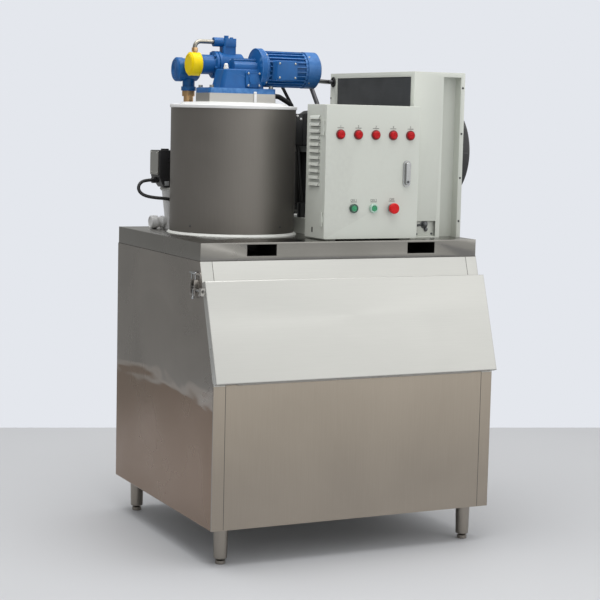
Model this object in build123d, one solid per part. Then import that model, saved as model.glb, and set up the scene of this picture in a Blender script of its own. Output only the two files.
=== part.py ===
"""Flake ice machine on an insulated ice bin. Millimetres, +Z up, +Y to the back.

The model is laid out about the middle of the bin's footprint, and export() moves
it so that the origin is the middle of the whole machine's footprint on the floor.
"""
from build123d import *
from math import atan, cos, radians, sin, tan
import os

# Clearances
pin_gap = 0.05          # radial, a pin or shaft running in its bore
slide_gap = 0.3         # a rigid piece moving past another
seat_gap = 0.3          # a soft or curved piece against its seat

# Bin
bin_width = 1150.0
bin_depth = 1000.0
bin_underside = 137.0
knee_height = 656.0     # where the upright front meets the slanted front
bin_top = 1084.0
slant_setback = 143.0   # how far the slanted front leans back at the top
wall = 48.0             # insulated panel thickness
edge_radius = 3.0       # folded sheet edges

# Bin door
sill_rise = 45.0        # slanted sill above the knee, along the slant
opening_rise = 340.0    # top of the door opening, along the slant
door_low = 2.0          # door edges, along the slant from the knee
door_high = 372.0
door_standoff = 4.0     # door's back face in front of the slanted face
door_thickness = 30.0
door_overhang = 2.0     # door past the bin's side, each side
door_plug_depth = 10.0
door_plug_margin = 5.0
door_recess_rise = 9.0  # recess behind the door's lower lip, for the hinge
door_recess_out = 12.0
door_corner = 4.0
stay_hole = (130.0, 18.0)   # rise and out of the small hole in each door edge
stay_hole_radius = 4.0
stay_hole_depth = 8.0
gasket_width = 14.0
gasket_thickness = 3.7

# Door hinge
hinge_pin_radius = 2.0
hinge_barrel_radius = 3.5
hinge_leaf = 1.5
hinge_length = 960.0
hinge_knuckles = 9
hinge_rise = 3.5        # pin centre along the slant from the knee
hinge_out = 5.0         # pin centre out from the slanted face
hinge_knuckle_gap = 0.6
hinge_leaf_low = 9.0    # fixed leaf, along the slant
hinge_leaf_high = 28.0
hinge_web = 1.5         # half the thickness of the door's webs

# Door bolt on the left side
bolt_height = 983.0
bolt_radius = 5.0
bolt_axis_out = 11.0    # bolt centre out from the bin's side
bolt_travel = 22.0
bolt_tip = -391.0        # bolt's front end when it is drawn back
grip_radius = 3.5
latch_front = -372.0
latch_back = -306.0
latch_bottom = 958.0
latch_top = 1046.0
latch_plate = 2.5
guide_centres = (-357.0, -321.0)
guide_thickness = 5.0
keeper_length = 20.0
keeper_shift = -1.0

# Feet
foot_inset = 68.0
leg_top_radius = 27.0
leg_low_radius = 24.5
leg_flange_radius = 40.0
leg_low = 20.0
stem_radius = 9.0
pad_radius = 18.5
stem_top = 70.0

# Drain elbow under the bin
drain_radius = 16.0
drain_inset = 60.0
drain_wall = 3.0
drain_drop = 45.0
drain_end = 480.0
spigot_radius = 14.5
spigot_start = 420.0

# Skid frame between the bin and the machinery
skid_height = 65.0
skid_inset = 2.0
skid_sheet = 3.0
fork_width = 118.0
fork_height = 42.0
fork_drop = 7.0         # pocket's top below the skid's top
fork_centres = (-332.0, 330.0)

# Ice drum
drum_x = -242.5
drum_y = 127.0
drum_radius = 241.5
drum_height = 479.0
jacket_wall = 3.0
lid_lip = 4.0
lid_band = 13.0
lid_step = 9.0
lid_step_radius = 205.0
evaporator_radius = 200.0
evaporator_wall = 18.0
evaporator_flange = 8.0
chute_radius = 150.0
chute_wall = 3.0
spider_height = 14.0
spindle_radius = 20.0
spindle_hub = 34.0

# Gear drive on the drum
pedestal_width = 278.0
pedestal_depth = 136.0
pedestal_height = 36.0
pedestal_sheet = 4.0
pedestal_shift = 9.5    # pedestal's middle, right of the drum's axis
gear_plate = 20.0
gear_left_reach = 75.5  # gearbox's ends and sides from the drum's axis
gear_right_reach = 108.5
gear_front_reach = 49.0
gear_back_reach = 57.0
gear_body_height = 73.0
motor_radius = 70.0
motor_clearance = 8.0   # motor's body above the gearbox's base plate
motor_fin_height = 8.0
motor_fin_count = 24
motor_flange_rim = 8.0  # flange past the motor's body
motor_flange_width = 22.0
motor_neck = 18.0       # plain collar between the flange and the fins
motor_body_length = 161.0
motor_shaft_radius = 9.0
fan_cover_length = 60.0
terminal_box_inset = 4.0
terminal_box_length = 90.0

# Feed pump behind the gearbox
feed_left = 99.5        # pump's left end from the drum's axis
feed_behind = 113.0
feed_lift = 147.0       # pump's axis above the drum's lid
feed_radius = 45.0
feed_head_behind = 204.0
feed_head_lift = 127.0
feed_head_offset = 7.0  # head's outlet, left of the pump's end
feed_head_reach = 65.0
feed_head_radius = 47.0
feed_pipe_radius = 8.5
feed_pipe_lift = 235.0

# Compressor
comp_x = 115.0
comp_y = 130.0
comp_radius = 88.0
comp_height = 483.0     # above the skid
tray_height = 61.0
tray_left = 16.0
tray_front = -120.0
tray_back = 440.0
tray_gap = 6.0          # tray short of the condenser
tray_sheet = 3.0
suction_reach = 92.0    # end of the suction stub behind the compressor's middle
suction_offset = -35.0
suction_drop = 132.0    # below the compressor's top
hot_offset = 21.0
hose_radius = 10.0
thin_hose_radius = 6.5
hot_pipe_radius = 9.0
liquid_pipe_radius = 6.0
hot_pipe_inset = 26.0   # hot line's entry, in front of the condenser's back
hot_pipe_drop = 35.0    # and below its top
liquid_rise = 411.0     # liquid line's entry above the skid
receiver_x = 250.0
receiver_radius = 40.0
receiver_height = 220.0

# Condenser
cond_width = 225.0
cond_depth = 707.0
cond_height = 636.0
cond_inset = 28.0       # condenser's back in front of the bin's back
cond_sheet = 2.5
channel_inset = 130.0   # upright channel in the front, from the condenser's left
channel_width = 77.0
channel_depth = 40.0
coil_thickness = 60.0
fan_behind = 268.0      # fan's axis behind the condenser's front
fan_lift = 326.0        # and above the skid
fan_motor_length = 72.0
fan_motor_inset = 107.0
fan_opening_radius = 188.0
guard_radius = 200.0
guard_depth = 100.0
guard_wire = 5.0
guard_shoulder = 187.0
guard_shoulder_reach = 80.0
fan_radius = 176.0
fan_blade_count = 5

# Control box
box_x = 126.0
box_width = 394.0
box_height = 496.0
box_lift = 6.0
box_front = -312.0
box_depth = 140.0
box_sheet = 2.0
door_tray = 18.0
panel_gap = 1.0
lamp_pitch = 73.75
lamp_shift = 10.0
lamp_rise = 387.0       # lamps, buttons and lock above the box's underside
lamp_radius = 15.0
button_offsets = (-76.0, 8.0)   # from the box's middle
estop_offset = 86.0
button_rise = 114.0
button_radius = 11.0
button_travel = 4.0
estop_radius = 20.0
estop_travel = 5.0
lock_offset = 146.0
lock_rise = 244.0
lock_lift = 26.0        # lock's spindle above the middle of its base
lock_length = 98.0
lock_width = 31.0
handle_length = 84.0
handle_width = 18.0
cam_reach = 42.0
control_knuckle = 26.0
control_hinge_radius = 3.0
control_pin_radius = 1.5

# Circulation pump behind the drum
pump_x = -422.0
pump_y = 380.0
pump_width = 90.0
pump_depth = 92.0
pump_lift = 165.0       # pump's underside above the skid
pump_height = 145.0
cable_radius = 6.5
cable_end = (-335.0, 408.0)

skid_top = bin_top + skid_height
drum_top = skid_top + drum_height
lid_top = drum_top + lid_band + lid_step
gear_left, gear_right = drum_x - gear_left_reach, drum_x + gear_right_reach
gear_front, gear_back = drum_y - gear_front_reach, drum_y + gear_back_reach
gear_plate_top = lid_top + pedestal_height + gear_plate
motor_axis_z = gear_plate_top + motor_clearance + motor_radius
motor_core_radius = motor_radius - motor_fin_height
motor_flange_radius = motor_radius + motor_flange_rim
motor_flange_x = gear_right - motor_flange_width
motor_body_left = gear_right + motor_neck
motor_body_right = motor_body_left + motor_body_length
feed_x = drum_x - feed_left
feed_y, feed_z = drum_y + feed_behind, lid_top + feed_lift
feed_pipe_z = lid_top + feed_pipe_lift
feed_head_x = feed_x - feed_head_offset
feed_head_y, feed_head_z = drum_y + feed_head_behind, lid_top + feed_head_lift
comp_top = skid_top + comp_height
suction_z = comp_top - suction_drop
slant = atan(slant_setback / (bin_top - knee_height))
half_w = bin_width / 2
half_d = bin_depth / 2
inner_x = half_w - wall
cond_right, cond_back = half_w, half_d - cond_inset
cond_left, cond_front = cond_right - cond_width, cond_back - cond_depth
cond_top = skid_top + cond_height
channel_left = cond_left + channel_inset
channel_right = channel_left + channel_width
fan_y, fan_z = cond_front + fan_behind, skid_top + fan_lift
hot_pipe_y, hot_pipe_z = cond_back - hot_pipe_inset, cond_top - hot_pipe_drop
liquid_z = skid_top + liquid_rise
box_bottom = skid_top + box_lift
lamp_z, button_z, lock_z = box_bottom + lamp_rise, box_bottom + button_rise, box_bottom + lock_rise
estop_x, lock_x = box_x + estop_offset, box_x + lock_offset
pump_bottom = skid_top + pump_lift
pump_top = pump_bottom + pump_height
on_end = (Align.CENTER, Align.CENTER, Align.MIN)


def block(x0, x1, y0, y1, z0, z1):
    """A box given by its limits."""
    return Pos(x0, y0, z0) * Box(x1 - x0, y1 - y0, z1 - z0, align=(Align.MIN,) * 3)


def rod_x(x0, x1, y, z, radius):
    """A round bar along X."""
    return Pos(x0, y, z) * Rot(0, 90, 0) * Cylinder(radius, x1 - x0, align=on_end)


def rod_y(x, y0, y1, z, radius):
    """A round bar along Y."""
    return Pos(x, y0, z) * Rot(-90, 0, 0) * Cylinder(radius, y1 - y0, align=on_end)


def rod_z(x, y, z0, z1, radius):
    """A round bar along Z."""
    return Pos(x, y, z0) * Cylinder(radius, z1 - z0, align=on_end)


def prism_x(points, x0, x1):
    """A YZ outline carried along X."""
    wire = Polyline([(x0, y, z) for y, z in points], close=True)
    return extrude(make_face(wire), amount=x1 - x0, dir=(1, 0, 0))


def prism_y(points, y0, y1):
    """An XZ outline carried along Y."""
    wire = Polyline([(x, y0, z) for x, z in points], close=True)
    return extrude(make_face(wire), amount=y1 - y0, dir=(0, 1, 0))


def turned(points, x=0.0, y=0.0):
    """A solid of revolution about a vertical axis from (radius, z) points."""
    wire = Polyline([(r, 0, z) for r, z in points], close=True)
    return Pos(x, y, 0) * revolve(make_face(wire), Axis.Z)


def turned_x(points, y, z):
    """A solid of revolution about an axis along X from (x, radius) points."""
    wire = Polyline([(x, 0, r) for x, r in points], close=True)
    return Pos(0, y, z) * revolve(make_face(wire), Axis.X)


def on_slant(rise, out):
    """The (y, z) point so far up the slanted face and so far out from it."""
    return (-half_d + rise * sin(slant) - out * cos(slant),
            knee_height + rise * cos(slant) + out * sin(slant))


def slant_prism(corners, x0, x1):
    """An outline of (rise, out) points on the slanted face, carried along X."""
    return prism_x([on_slant(rise, out) for rise, out in corners], x0, x1)


def group(*solids):
    """Separate solids that share one node."""
    return Compound([solid for item in solids for solid in item.solids()])


def mirrored(solid):
    """The same piece on the other side of the bin."""
    return mirror(solid, about=Plane.YZ)


# Bin

def bin_panels():
    """Insulated walls: two sides, back, floor, lower front, header and top."""
    slant_inner_top = -half_d + slant_setback + wall / cos(slant)
    header_foot = on_slant(opening_rise, 0)
    header_back = on_slant(opening_rise, -wall)
    top_inner_z = bin_top - wall
    top_inner_y = slant_inner_top - wall * tan(slant)
    knee_inner_z = knee_height - wall * (1 - cos(slant)) / sin(slant)
    side = prism_x([(-half_d, bin_underside), (half_d, bin_underside), (half_d, bin_top),
                    (-half_d + slant_setback, bin_top), (-half_d, knee_height)], -half_w, -inner_x)
    outer_edges = side.edges().filter_by(lambda e: e.center().X < -half_w + 1)
    side = fillet(outer_edges, edge_radius)
    back = block(-inner_x, inner_x, half_d - wall, half_d, bin_underside, bin_top)
    floor = block(-inner_x, inner_x, -half_d + wall, half_d - wall, bin_underside, bin_underside + wall)
    floor -= rod_z(0, half_d - wall - drain_inset, bin_underside - 1, bin_underside + wall + 1,
                   drain_radius)
    front = prism_x([(-half_d, bin_underside), (-half_d, knee_height), on_slant(sill_rise, 0),
                     on_slant(sill_rise, -wall), (-half_d + wall, knee_inner_z),
                     (-half_d + wall, bin_underside)], -inner_x, inner_x)
    header = prism_x([header_foot, (-half_d + slant_setback, bin_top), (slant_inner_top, bin_top),
                      header_back],
                     -inner_x, inner_x)
    top = prism_x([(slant_inner_top, bin_top), (top_inner_y, top_inner_z), (half_d - wall, top_inner_z),
                   (half_d - wall, bin_top)], -inner_x, inner_x)
    top -= rod_z(drum_x, drum_y, top_inner_z - 1, bin_top + 1, chute_radius + seat_gap)
    return {"bin_side_left": side, "bin_side_right": mirrored(side), "bin_back": back, "bin_floor": floor,
            "bin_front_panel": front, "bin_header": header, "bin_top": top}


def drain_pipe():
    """Drain elbow under the bin's floor, opening to the back."""
    y = half_d - wall - drain_inset
    z_low = bin_underside - drain_drop
    outer = rod_z(0, y, z_low, bin_underside + wall - 4, drain_radius - seat_gap)
    outer += Pos(0, y, z_low) * Sphere(drain_radius - seat_gap)
    outer += rod_y(0, y, spigot_start, z_low, drain_radius - seat_gap)
    outer += rod_y(0, spigot_start - 1, drain_end, z_low, spigot_radius)
    outer += rod_z(0, y, bin_underside - 8, bin_underside, drain_radius + 8)
    bore = drain_radius - seat_gap - drain_wall
    outer -= rod_z(0, y, z_low, bin_underside + wall, bore)
    outer -= rod_y(0, y, drain_end + 1, z_low, bore)
    return outer


def door_gasket():
    """Rubber frame round the door opening, on the slanted face."""
    out_x = inner_x + 8 + gasket_width
    low = sill_rise - 1 - gasket_width
    high = opening_rise + 1 + gasket_width
    ring = slant_prism([(low, 0), (high, 0), (high, gasket_thickness), (low, gasket_thickness)], -out_x,
                       out_x)
    hole_x = out_x - gasket_width
    hole = slant_prism([(low + gasket_width, -1), (high - gasket_width, -1), (high - gasket_width, 9),
                        (low + gasket_width, 9)], -hole_x, hole_x)
    return ring - hole


def foot_places():
    """The four feet, front left first."""
    x, y = half_w - foot_inset, half_d - foot_inset
    return [(-x, -y), (x, -y), (-x, y), (x, y)]


def legs():
    """Tapered leg tubes with the screwed feet in them."""
    tube = [(stem_radius + pin_gap, leg_low), (leg_low_radius - 2, leg_low), (leg_low_radius, leg_low + 3),
            (leg_top_radius, bin_underside - 5), (leg_flange_radius, bin_underside - 5),
            (leg_flange_radius, bin_underside), (stem_radius + pin_gap, bin_underside)]
    foot = [(0, 0), (pad_radius - 2, 0), (pad_radius, 2), (pad_radius, leg_low - 7),
            (stem_radius, leg_low - 4),
            (stem_radius, stem_top), (0, stem_top)]
    leg_set = [turned(tube, x, y) for x, y in foot_places()]
    foot_set = [turned(foot, x, y) for x, y in foot_places()]
    return {"legs": group(*leg_set), "leg_feet": group(*foot_set)}


# Bin door

def bin_door():
    """Insulated drop-front door: a folded pan with a raised inner liner."""
    edge = half_w + door_overhang
    front = door_standoff + door_thickness
    pan = slant_prism([(door_low, door_recess_out), (door_recess_rise, door_recess_out),
                       (door_recess_rise, door_standoff), (door_high, door_standoff), (door_high, front),
                       (door_low, front)], -edge, edge)
    front_edges = [e for e in pan.edges() if _out_of(e.center()) > front - 0.5]
    pan = fillet(front_edges, door_corner)
    side_edges = [e for e in pan.edges().filter_by(Axis.X) if _out_of(e.center()) < door_standoff + 0.5]
    pan = fillet(side_edges, 1.5)
    low, high = sill_rise + door_plug_margin, opening_rise - door_plug_margin
    plug_x = inner_x - door_plug_margin
    back = door_standoff - door_plug_depth
    plug = slant_prism([(low, door_standoff + 1), (high, door_standoff + 1), (high - 8, back),
                        (low + 8, back)],
                       -plug_x, plug_x)
    for side in (-1, 1):
        x = side * (edge - stay_hole_depth / 2)
        y, z = on_slant(*stay_hole)
        pan -= rod_x(x - stay_hole_depth / 2, x + stay_hole_depth / 2, y, z, stay_hole_radius)
    return pan + plug


def _out_of(point):
    """How far a point is out from the slanted face."""
    return -(point.Y + half_d) * cos(slant) + (point.Z - knee_height) * sin(slant)


def door_hinge():
    """Piano hinge behind the door's lip: fixed leaf with its pin, and the door's leaf."""
    pitch = hinge_length / hinge_knuckles
    end = hinge_length / 2
    y, z = on_slant(hinge_rise, hinge_out)
    fixed_leaf = slant_prism([(hinge_leaf_low, 0), (hinge_leaf_high, 0), (hinge_leaf_high, hinge_leaf),
                              (hinge_leaf_low, hinge_leaf)], -end, end)
    leaf_foot = door_recess_rise - hinge_leaf
    door_leaf = slant_prism([(leaf_foot, door_standoff), (door_recess_rise, door_standoff),
                             (door_recess_rise, door_recess_out), (leaf_foot, door_recess_out)], -end, end)
    for i in range(hinge_knuckles):
        x0 = -end + i * pitch + hinge_knuckle_gap / 2
        x1 = x0 + pitch - hinge_knuckle_gap
        barrel = rod_x(x0, x1, y, z, hinge_barrel_radius)
        if i % 2 == 0:
            low, high = hinge_rise - 3, hinge_rise + 3
            foot = slant_prism([(low, 0), (hinge_leaf_low + 1, 0), (hinge_leaf_low + 1, hinge_leaf),
                                (high, hinge_leaf), (high, hinge_out - 1), (low, hinge_out - 1)], x0, x1)
            fixed_leaf += barrel + foot
        else:
            web = slant_prism([(hinge_rise, hinge_out - hinge_web),
                               (leaf_foot + 0.5, hinge_out - hinge_web),
                               (leaf_foot + 0.5, hinge_out + hinge_web),
                               (hinge_rise, hinge_out + hinge_web)],
                              x0, x1)
            door_leaf += barrel + web
    bore = rod_x(-hinge_length, hinge_length, y, z, hinge_pin_radius + pin_gap)
    pin = rod_x(-end - 4, end + 4, y, z, hinge_pin_radius)
    return {"hinge_leaf_fixed": group(fixed_leaf - bore, pin), **door_bolt(door_leaf - bore)}


def door_bolt(door_leaf):
    """Slide bolt on the bin's left side, and the door's own fittings: its leaf and the keeper."""
    face = -half_w
    axis_x = face - bolt_axis_out
    plate = block(face - latch_plate, face, latch_front, latch_back, latch_bottom, latch_top)
    plate = fillet(plate.edges().filter_by(Axis.X), 6.0)
    ledge = block(face - 14, face, latch_back - 56, latch_back - 4, latch_top - 8, latch_top - 4)
    base = plate + ledge
    for y in guide_centres:
        guide = block(axis_x - 9, face, y - guide_thickness / 2, y + guide_thickness / 2,
                      bolt_height - 22, bolt_height + 36)
        base += fillet(guide.edges().filter_by(Axis.Y).filter_by(lambda e: e.center().X < face - 1), 6.0)
    base -= rod_y(axis_x, latch_front - 1, latch_back + 1, bolt_height, bolt_radius + slide_gap)
    tail = guide_centres[1] + 14.0
    bolt = rod_y(axis_x, bolt_tip, tail, bolt_height, bolt_radius)
    bolt = chamfer(bolt.edges().filter_by(GeomType.CIRCLE), 1.5)
    grip_y = guide_centres[0] + guide_thickness / 2 + grip_radius + 1 + bolt_travel
    bolt += rod_z(axis_x, grip_y, bolt_height - 30, bolt_height, grip_radius)
    bolt += Pos(axis_x, grip_y, bolt_height - 30) * Sphere(6.0)
    rise = (bolt_height - knee_height) / cos(slant)
    door_y0 = on_slant(rise, door_standoff + door_thickness)[0]
    door_y1 = on_slant(rise, door_standoff)[0]
    mid = (door_y0 + door_y1) / 2 + keeper_shift
    side = face - door_overhang
    keeper = block(axis_x - 8, side, mid - keeper_length / 2, mid + keeper_length / 2,
                   bolt_height - 16, bolt_height + 12)
    keeper = fillet(keeper.edges().filter_by(Axis.Y).filter_by(lambda e: e.center().X < axis_x), 6.0)
    keeper -= rod_y(axis_x, mid - keeper_length, mid + keeper_length, bolt_height, bolt_radius + 1.0)
    return {"latch_base": base, "latch_bolt": bolt, "door_fittings": group(door_leaf, keeper)}


# Skid frame and outlet

def skid_frame():
    """Folded base frame under the machinery, with two fork pockets through it."""
    x = half_w - skid_inset
    y0, y1 = -half_d + slant_setback, half_d - skid_inset
    shell = block(-x, x, y0, y1, bin_top, skid_top)
    shell = fillet(shell.edges().filter_by(Axis.Z), edge_radius)
    shell -= block(-x + skid_sheet, x - skid_sheet, y0 + skid_sheet, y1 - skid_sheet, bin_top - 1,
                   skid_top - skid_sheet)
    z1 = skid_top - fork_drop
    z0 = z1 - fork_height
    for cx in fork_centres:
        a, b = cx - fork_width / 2, cx + fork_width / 2
        shell += block(a - skid_sheet, b + skid_sheet, y0, y1, z0 - skid_sheet, z1 + skid_sheet)
        shell -= block(a, b, y0 - 1, y1 + 1, z0, z1)
    shell -= rod_z(drum_x, drum_y, bin_top - 20, skid_top + 20, chute_radius + seat_gap)
    return shell


def ice_chute():
    """Outlet ring that leads the flakes from the drum into the bin."""
    inner = chute_radius - chute_wall
    return turned([(inner, bin_top - wall), (chute_radius, bin_top - wall), (chute_radius, skid_top),
                   (chute_radius + 16, skid_top), (chute_radius + 16, skid_top + 3), (inner, skid_top + 3)],
                  drum_x, drum_y)


# Ice drum

def drum():
    """Jacket, evaporator with its lower bearing, and lid."""
    r = drum_radius
    jacket = turned([(r - jacket_wall, skid_top), (r + 2, skid_top), (r + 2, skid_top + 4),
                     (r, skid_top + 6),
                     (r, drum_top + 6), (r - jacket_wall, drum_top + 6)], drum_x, drum_y)
    e = evaporator_radius
    flange = r - jacket_wall - 2
    inner = e - evaporator_wall
    z0 = skid_top
    evaporator = turned([(inner, z0), (flange, z0), (flange, z0 + evaporator_flange),
                         (e, z0 + evaporator_flange),
                         (e, drum_top - 28), (inner, drum_top - 28)], drum_x, drum_y)
    spider_z = z0 + 6
    hub = rod_z(drum_x, drum_y, spider_z, spider_z + spider_height, spindle_hub)
    for i in range(3):
        arm = block(spindle_hub - 5, inner + 2, -8, 8, spider_z, spider_z + spider_height)
        hub += Pos(drum_x, drum_y, 0) * Rot(0, 0, 30 + 120 * i) * arm
    hub &= rod_z(drum_x, drum_y, z0, z0 + 60, inner)
    hub -= rod_z(drum_x, drum_y, z0, z0 + 60, spindle_radius + pin_gap)
    t = drum_top
    lid = turned([(spindle_radius + 1, t + lid_band - 6), (lid_step_radius - 8, t + lid_band - 6),
                  (lid_step_radius - 8, t), (r - jacket_wall - 1, t),
                  (r - jacket_wall - 1, t + 6 + seat_gap),
                  (r + seat_gap, t + 6 + seat_gap), (r + seat_gap, t), (r + lid_lip, t),
                  (r + lid_lip, t + lid_band - 2),
                  (r + lid_lip - 2, t + lid_band), (lid_step_radius, t + lid_band),
                  (lid_step_radius - 2, lid_top),
                  (spindle_radius + 1, lid_top)], drum_x, drum_y)
    return {"drum_jacket": jacket, "evaporator": group(evaporator, hub), "drum_lid": lid}


def spindle_and_scraper():
    """Rotor in the drum: spindle, ice blade arms and the water distributor."""
    x, y = drum_x, drum_y
    low = skid_top + 4
    spindle = rod_z(x, y, low, lid_top + pedestal_height + gear_plate + 14, spindle_radius)
    spindle = chamfer(spindle.edges().filter_by(GeomType.CIRCLE), 2.0)
    inner = evaporator_radius - evaporator_wall
    blade_low, blade_high = skid_top + 40, drum_top - 75
    tip = inner - 2.0
    teeth = 16
    pitch = (blade_high - blade_low) / teeth
    edge = []
    for i in range(teeth):
        z = blade_low + i * pitch
        edge += [(tip - 9, z), (tip, z + pitch * 0.5), (tip - 9, z + pitch * 0.99)]
    blade = prism_y([(tip - 30, blade_low)] + edge + [(tip - 30, blade_high)], -5, 5)
    arms = blade
    for z in (blade_low + 30, blade_high - 50):
        arms += block(spindle_radius, tip - 26, -12, 12, z, z + 20)
        arms += rod_z(0, 0, z - 6, z + 26, spindle_hub)
    arms += block(-tip + 40, -spindle_radius, -12, 12, blade_low + 30, blade_low + 50)
    arms += block(-tip + 40, -tip + 52, -30, 30, blade_low + 10, blade_low + 70)
    arms -= rod_z(0, 0, low, drum_top, spindle_radius)
    scraper = Pos(x, y, 0) * Rot(0, 0, -60) * arms
    cup_z = drum_top - 48
    cup = turned([(spindle_radius, cup_z), (62, cup_z), (66, cup_z + 26), (63, cup_z + 26), (59, cup_z + 4),
                  (spindle_radius + 6, cup_z + 4), (spindle_radius + 6, cup_z + 14),
                  (spindle_radius, cup_z + 14)])
    for i in range(5):
        spout = Rot(0, 0,
                    72 * i) * (rod_x(58, inner - 14, 0, cup_z + 8, 6) - rod_x(50, inner, 0, cup_z + 8, 4))
        cup += spout
    return {"spindle": spindle, "scraper": scraper, "water_distributor": Pos(x, y, 0) * cup}


# Gear drive

def gear_drive():
    """Pedestal, worm gearbox with its bearing cover, and the finned motor."""
    px = drum_x + pedestal_shift
    px0, px1 = px - pedestal_width / 2, px + pedestal_width / 2
    py0, py1 = drum_y + 5 - pedestal_depth / 2, drum_y + 5 + pedestal_depth / 2
    z0 = lid_top
    z1 = z0 + pedestal_height
    pedestal = block(px0, px1, py0, py1, z0, z1)
    pedestal = fillet(pedestal.edges().filter_by(Axis.Z), 3.0)
    pedestal -= block(px0 + pedestal_sheet, px1 - pedestal_sheet, py0 + pedestal_sheet,
                      py1 - pedestal_sheet,
                      z0 - 1, z1 - pedestal_sheet)
    pedestal -= rod_z(drum_x, drum_y, z0, z1 + 1, spindle_radius + 6)
    plate = block(px0 - 1, px1 + 1, py0 - 1, py1 + 1, z1, z1 + gear_plate)
    plate = fillet(plate.edges().filter_by(Axis.Z), 10.0)
    z2 = z1 + gear_plate
    z3 = z2 + gear_body_height
    mid_x, mid_y = (gear_left + gear_right) / 2, (gear_front + gear_back) / 2
    length, depth = gear_right - gear_left, gear_back - gear_front
    foot = Plane.XY.offset(z2) * Pos(mid_x, mid_y) * RectangleRounded(length, depth, 16)
    crown = Plane.XY.offset(z3) * Pos(mid_x + 4, mid_y) * RectangleRounded(length - 26, depth - 12, 16)
    body = loft([foot, crown])
    body = fillet(body.faces().sort_by(Axis.Z)[-1].edges(), 6.0)
    worm_y = drum_y
    worm = rod_x(gear_left + 64, motor_flange_x - 1, worm_y, motor_axis_z, 32)
    ribs = None
    for i in range(5):
        rib = block(gear_left + 64, motor_flange_x - 2, -2, 2, 28, 38)
        rib = Pos(0, worm_y, motor_axis_z) * Rot(15 * (i - 2), 0, 0) * rib
        ribs = rib if ribs is None else ribs + rib
    flange_end = motor_flange_x + motor_flange_width
    flange = turned_x([(motor_flange_x - 4, 46), (motor_flange_x, motor_flange_radius - 3),
                       (motor_flange_x + 3, motor_flange_radius), (flange_end, motor_flange_radius),
                       (flange_end, 0), (motor_flange_x - 4, 0)], worm_y, motor_axis_z)
    flange -= block(motor_flange_x - 10, motor_flange_x + 30, 0, 300, z1 - 40, z1 + 0.0)
    housing = plate + body + worm + ribs + flange
    housing -= rod_z(drum_x, drum_y, z1 - 1, lid_top + pedestal_height + gear_plate + 16,
                     spindle_radius + pin_gap)
    shaft_bore = motor_shaft_radius + pin_gap
    housing -= rod_x(motor_flange_x - 26, motor_flange_x + 40, worm_y, motor_axis_z, shaft_bore)
    cx0, cx1 = gear_right - 82, gear_right - 20
    cover_z0, cover_z1 = z2 + 4, z2 + 66
    cover = block(cx0, cx1, gear_front - 6, gear_front + 8, cover_z0, cover_z1)
    cover = fillet(cover.edges().filter_by(Axis.Y), 9.0)
    cover += rod_y((cx0 + cx1) / 2, gear_front - 10, gear_front - 5, (cover_z0 + cover_z1) / 2, 20)
    for dx in (-1, 1):
        for dz in (-1, 1):
            cover += rod_y((cx0 + cx1) / 2 + dx * 23, gear_front - 9.5, gear_front - 5,
                           (cover_z0 + cover_z1) / 2 + dz * 23, 4.5)
    cover -= housing
    cover = cover.solids().sort_by(SortBy.VOLUME)[-1]
    return {"pedestal": pedestal, "gearbox_housing": housing, "gearbox_cover": cover, **motor(worm_y)}


def motor(axis_y):
    """Motor: finned body, terminal box, fan cover, and the rotor with its fan."""
    x_flange = motor_flange_x + motor_flange_width
    shell = turned_x([(x_flange, 0), (x_flange, motor_radius), (x_flange + 12, motor_radius),
                      (motor_body_left, motor_core_radius), (motor_body_right - 10, motor_core_radius),
                      (motor_body_right - 10, motor_radius - 4), (motor_body_right, motor_radius - 4),
                      (motor_body_right, 0)], axis_y, motor_axis_z)
    for i in range(motor_fin_count):
        fin = block(motor_body_left - 4, motor_body_right - 9, -1.5, 1.5, motor_core_radius - 3,
                    motor_radius)
        shell += Pos(0, axis_y, motor_axis_z) * Rot(360 / motor_fin_count * (i + 0.5), 0, 0) * fin
    box_y0, box_y1 = axis_y - motor_radius - 35, axis_y - 40
    shell -= rod_x(x_flange - 1, motor_body_right + 1, axis_y, motor_axis_z, motor_shaft_radius + pin_gap)
    box_x0 = motor_body_left + terminal_box_inset
    box_x1 = box_x0 + terminal_box_length
    terminal = block(box_x0, box_x1, box_y0, box_y1, motor_axis_z - 46, motor_axis_z + 32)
    terminal = fillet(terminal.edges().filter_by(Axis.Y), 8.0)
    terminal = fillet(terminal.faces().sort_by(Axis.Y)[0].edges(), 3.0)
    terminal -= rod_x(x_flange - 30, motor_body_right + 30, axis_y, motor_axis_z, motor_radius + 0.2)
    x0, x1 = motor_body_right, motor_body_right + fan_cover_length
    cover = turned_x([(x0, motor_radius - 3.8), (x0, motor_radius + 1), (x1 - 10, motor_radius + 1),
                      (x1, motor_radius - 12), (x1, 0), (x1 - 2, 0), (x1 - 2, motor_radius - 14),
                      (x1 - 12, motor_radius - 3.8)], axis_y, motor_axis_z)
    for i in range(10):
        slot = block(x1 - 6, x1 + 1, -5, 5, 22, 50)
        cover -= Pos(0, axis_y, motor_axis_z) * Rot(36 * i, 0, 0) * slot
    shaft = rod_x(x_flange - 44, x1 - 12, axis_y, motor_axis_z, motor_shaft_radius)
    hub_x0 = motor_body_right + 14
    fan = rod_x(hub_x0, hub_x0 + 24, axis_y, motor_axis_z, 20)
    for i in range(7):
        vane = block(hub_x0 + 2, hub_x0 + 34, -1.5, 1.5, 16, motor_radius - 14)
        fan += Pos(0, axis_y, motor_axis_z) * Rot(360 / 7 * i, 0, 0) * vane
    return {"motor_body": shell, "motor_terminal_box": terminal, "motor_fan_cover": cover,
            "motor_fan": shaft + fan}


# Feed pump

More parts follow.
